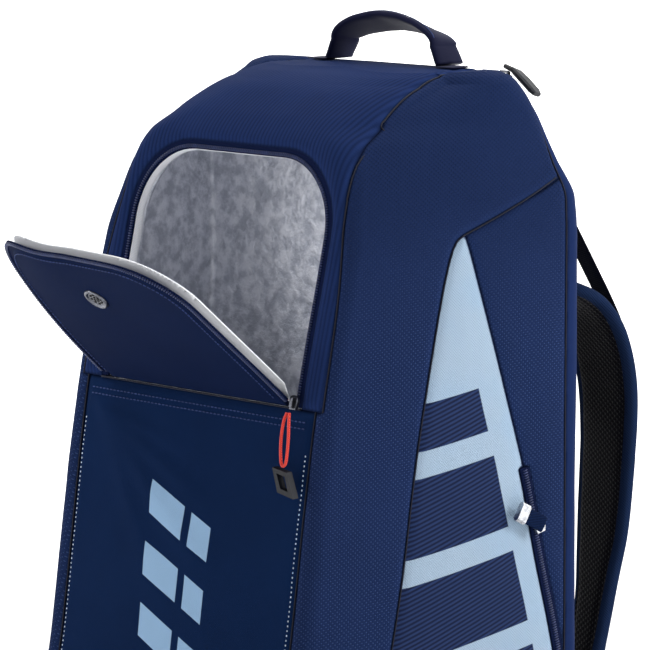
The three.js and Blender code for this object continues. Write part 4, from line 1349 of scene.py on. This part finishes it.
def make_strap(side, tag):
    body = "strap_" + tag
    full = smooth_path(STRAP_ROUTE, 130)
    line = mirrored_copy(full[:, :3], side)
    half = full[:, 3]
    t = np.linspace(0, 1, len(line))
    blend = np.clip(t * 8 / 4, 0, 1)[:, None]
    across = (1 - blend) * np.array([1.0, 0, 0]) + blend * np.array([0.967, -0.254, 0])
    across[:, 0] *= side
    run = directions(line)
    across -= run * (across * run).sum(1)[:, None]
    across /= np.linalg.norm(across, axis=1)[:, None]
    out = np.cross(run, across)
    if out[len(out) // 2, 1] < 0:
        out = -out
    thick = 12.0 - 3 * np.exp(-t * 14)
    # around the section: the outer face, a bound edge, the inner face and the other edge
    count = 64
    turn = np.linspace(0, 2 * math.pi, count, endpoint=False)
    w = np.sign(np.cos(turn)) * np.abs(np.cos(turn)) ** 0.45
    h = np.sign(np.sin(turn)) * np.abs(np.sin(turn)) ** 0.75
    crown = 1 + 0.18 * (1 - w**2)
    rings = []
    for c, a, o, hw, k, s in zip(line, across, out, half, thick, t):
        seam = np.exp(-((np.abs(w) * hw - (hw - 7)) / 1.6) ** 2)
        quilt = 0.5 * math.cos(s * 2 * math.pi * 9)
        height = h * k / 2 * crown * 0.92 - np.sign(h) * seam * 1.1 - (h < -0.5) * (1 - w**2) * 0.5 * quilt
        rings.append(c + a * (w * hw)[:, None] + o * height[:, None])
    points = np.vstack(rings)
    points += 0.45 * wobble(points, 36, 51 + side)[:, None] * np.repeat(out, count, axis=0)
    quads = grid_faces(len(rings), count)
    # the bound edges, and between them the outer face and the inner mesh
    kinds = np.where(np.abs(w) > 0.75, 1, np.where(h > 0, 0, 2))
    slots = kinds[quads[:, 0] % count].tolist() + [1, 1]
    obj = make_object("strap_pad_" + tag, points, closed_faces(len(rings), count),
                      [FINISH["strap_face"], FINISH["strap_edge"], FINISH["strap_back"]],
                      seam=np.ones(len(points)), slots=slots)
    fix_normals(obj)
    blended(obj, body, "shoulder_strap_" + tag, start=(side * 96, 116, 374),
            end=(side * 99, 146, 368))
    # stitches where the binding ends
    surface = Surface(points, triangles(quads))
    inner = slice(int(len(line) * 0.1), int(len(line) * 0.97))
    for k, edge in enumerate((-1, 1)):
        row = line[inner] + across[inner] * (edge * (half[inner] - 7))[:, None] + out[inner] * 7
        stitch_row("strap_stitches_%s_%d" % (tag, k), surface, row, "thread", "strap", body, 4.0)
    # lower webbing, and the lifter that pulls the strap's top towards the bag
    webbing = smooth_path(mirrored_copy(WEBBING_ROUTE, side), 40)
    flat = np.repeat([[1.0 * side, 0, 0]], len(webbing), axis=0)
    band = ribbon("lower_web_" + tag, webbing, flat, 1.8, 10.0, "black_webbing", edge=0.25)
    place(band, body, "webbing", "lower_webbing_" + tag)
    lifter = smooth_path(mirrored_copy(LIFTER_ROUTE, side), 60)
    flat = np.repeat([[1.0 * side, -0.2, 0]], len(lifter), axis=0)
    band = ribbon("lifter_web_" + tag, lifter, flat, 1.8, 9.0, "black_webbing", edge=0.25)
    blended(band, body, "load_lifter_" + tag, start=(side * 108, 116, 448),
            end=(side * 119, 180, 345))


for side_, tag_ in SIDES:
    make_strap(side_, tag_)
    soft_copy("strap_yoke_pad_" + tag_, "strap_yoke_" + tag_, 1.4, 0.2, 20, "base", "strap")
    soft_copy("lower_anchor_cloth_" + tag_, "lower_anchor_" + tag_, 1.2, 0.15, 16, "webbing", "webbing")
    soft_copy("zip_end_tab_cloth_" + tag_, "racket_zip_end_tab_" + tag_, 0.7, 0.08, 8, "base", "base")
    pad = soft_copy("back_cushion_" + tag_, "back_pad_" + tag_, 3.0, 0.6, 40, "mesh", "back_mesh")


# ---------------------------------------------------------------- zip pulls on the sides
def dress(node, finish, bevel=0.35):
    """A hard CAD node as it is, with softened edges and its finish."""
    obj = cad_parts[node]
    obj.data.materials.clear()
    obj.data.materials.append(FINISH[finish])
    if bevel:
        soften = obj.modifiers.new("bevel", "BEVEL")
        soften.width = bevel * MM
        soften.segments = 3
        soften.limit_method = "ANGLE"
        soften.angle_limit = math.radians(32)


for _, tag_ in SIDES:
    dress("side_zip_slider_" + tag_, "silver")
    dress("side_zip_tip_" + tag_, "silver", 0.5)
    dress("ladder_lock_" + tag_, "plastic", 0.5)
    soft_copy("side_pull_web_" + tag_, "side_zip_pull_" + tag_, 0.7, 0.1, 6, "webbing", "webbing",
              "side_pull_" + tag_)
dress("shoe_zip_slider", "gunmetal")
dress("racket_zip_slider", "gunmetal")
dress("shoe_pull_toggle", "rubber", 0.8)
dress("racket_zip_pull", "rubber", 0.8)
dress("back_stiffener", "sheet", 0)
dress("base_stiffener", "sheet", 0)

# ---------------------------------------------------------------- stitching
def seam_stitches():
    pocket = Surface(*POCKET)
    x = np.linspace(-POCKET_HALF + 8, POCKET_HALF - 8, 80)
    for k, z in enumerate((SEAM_Z - 7.5, SEAM_Z - 11.5)):
        line = np.column_stack([x, front_y(x, z), np.full(len(x), z)])
        stitch_row("pocket_stitches_%d" % k, pocket, line, "thread", "twill")
    z = np.linspace(SEAM_Z - 28, 24, 120)
    for k, (side, _) in enumerate(SIDES):
        x = np.full(len(z), side * (POCKET_HALF - 3.0))
        line = np.column_stack([x, front_y(x, z), z])
        stitch_row("pocket_edge_stitches_%d" % k, pocket, line, "pale_thread", "twill", pitch=3.0,
                   half_length=0.6)


seam_stitches()

# ---------------------------------------------------------------- floor and light
def staged(name, corners, glow):
    """One flat white piece of the studio; gives the object and its shader."""
    mesh = bpy.data.meshes.new(name)
    mesh.from_pydata(corners, [], [(0, 1, 2, 3)])
    paint = bpy.data.materials.new(name + "_white")
    paint.use_nodes = True
    shader = paint.node_tree.nodes["Principled BSDF"]
    shader.inputs["Base Color"].default_value = (0.9, 0.9, 0.9, 1)
    shader.inputs["Emission Color"].default_value = (1, 1, 1, 1)
    shader.inputs["Emission Strength"].default_value = glow
    mesh.materials.append(paint)
    obj = bpy.data.objects.new(name, mesh)
    scene.collection.objects.link(obj)
    return obj, shader, paint.node_tree


def make_stage():
    floor, shader, tree = staged("floor", [(-8, -8, 0), (8, -8, 0), (8, 8, 0), (-8, 8, 0)], 0.0)
    floor.location.z = -0.0005
    shader.inputs["Roughness"].default_value = 0.9
    # far from the bag the floor glows white, like a lit studio sweep
    reach = tree.nodes.new("ShaderNodeVectorMath")
    reach.operation = "LENGTH"
    tree.links.new(tree.nodes.new("ShaderNodeTexCoord").outputs["Object"], reach.inputs[0])
    far = tree.nodes.new("ShaderNodeMapRange")
    tree.links.new(reach.outputs["Value"], far.inputs[0])
    for socket, number in zip(far.inputs[1:5], (0.45, 1.5, 0.0, 1.0)):
        socket.default_value = number
    tree.links.new(far.outputs[0], shader.inputs["Emission Strength"])
    # a white wall far behind keeps the background bright without lighting the bag much
    wall = staged("backdrop", [(-9, 0, -1), (9, 0, -1), (9, 0, 7), (-9, 0, 7)], 1.0)[0]
    wall.location = (-4.6, 4.6, 0)
    wall.rotation_euler = (0, 0, math.radians(45))
    world = bpy.data.worlds.new("studio")
    world.use_nodes = True
    world.node_tree.nodes["Background"].inputs["Color"].default_value = (1, 1, 1, 1)
    world.node_tree.nodes["Background"].inputs["Strength"].default_value = 0.27
    scene.world = world
    # name, place in metres, size in metres and power in watts
    for name, where, size, power in (("key", (2.3, 1.1, 1.5), 1.0, 43), ("top", (-0.5, 0.1, 2.4), 1.2, 34),
                                     ("left", (-1.7, -2.0, 1.2), 1.0, 15), ("rim", (0.6, 1.7, 1.3), 0.9, 8)):
        data = bpy.data.lights.new(name, "AREA")
        data.size = size
        data.energy = power
        light = bpy.data.objects.new(name, data)
        light.location = where
        light.rotation_euler = (Vector((0, 0, 0.3)) - Vector(where)).to_track_quat("-Z", "Y").to_euler()
        scene.collection.objects.link(light)
    scene.view_settings.view_transform = "Standard"


make_stage()
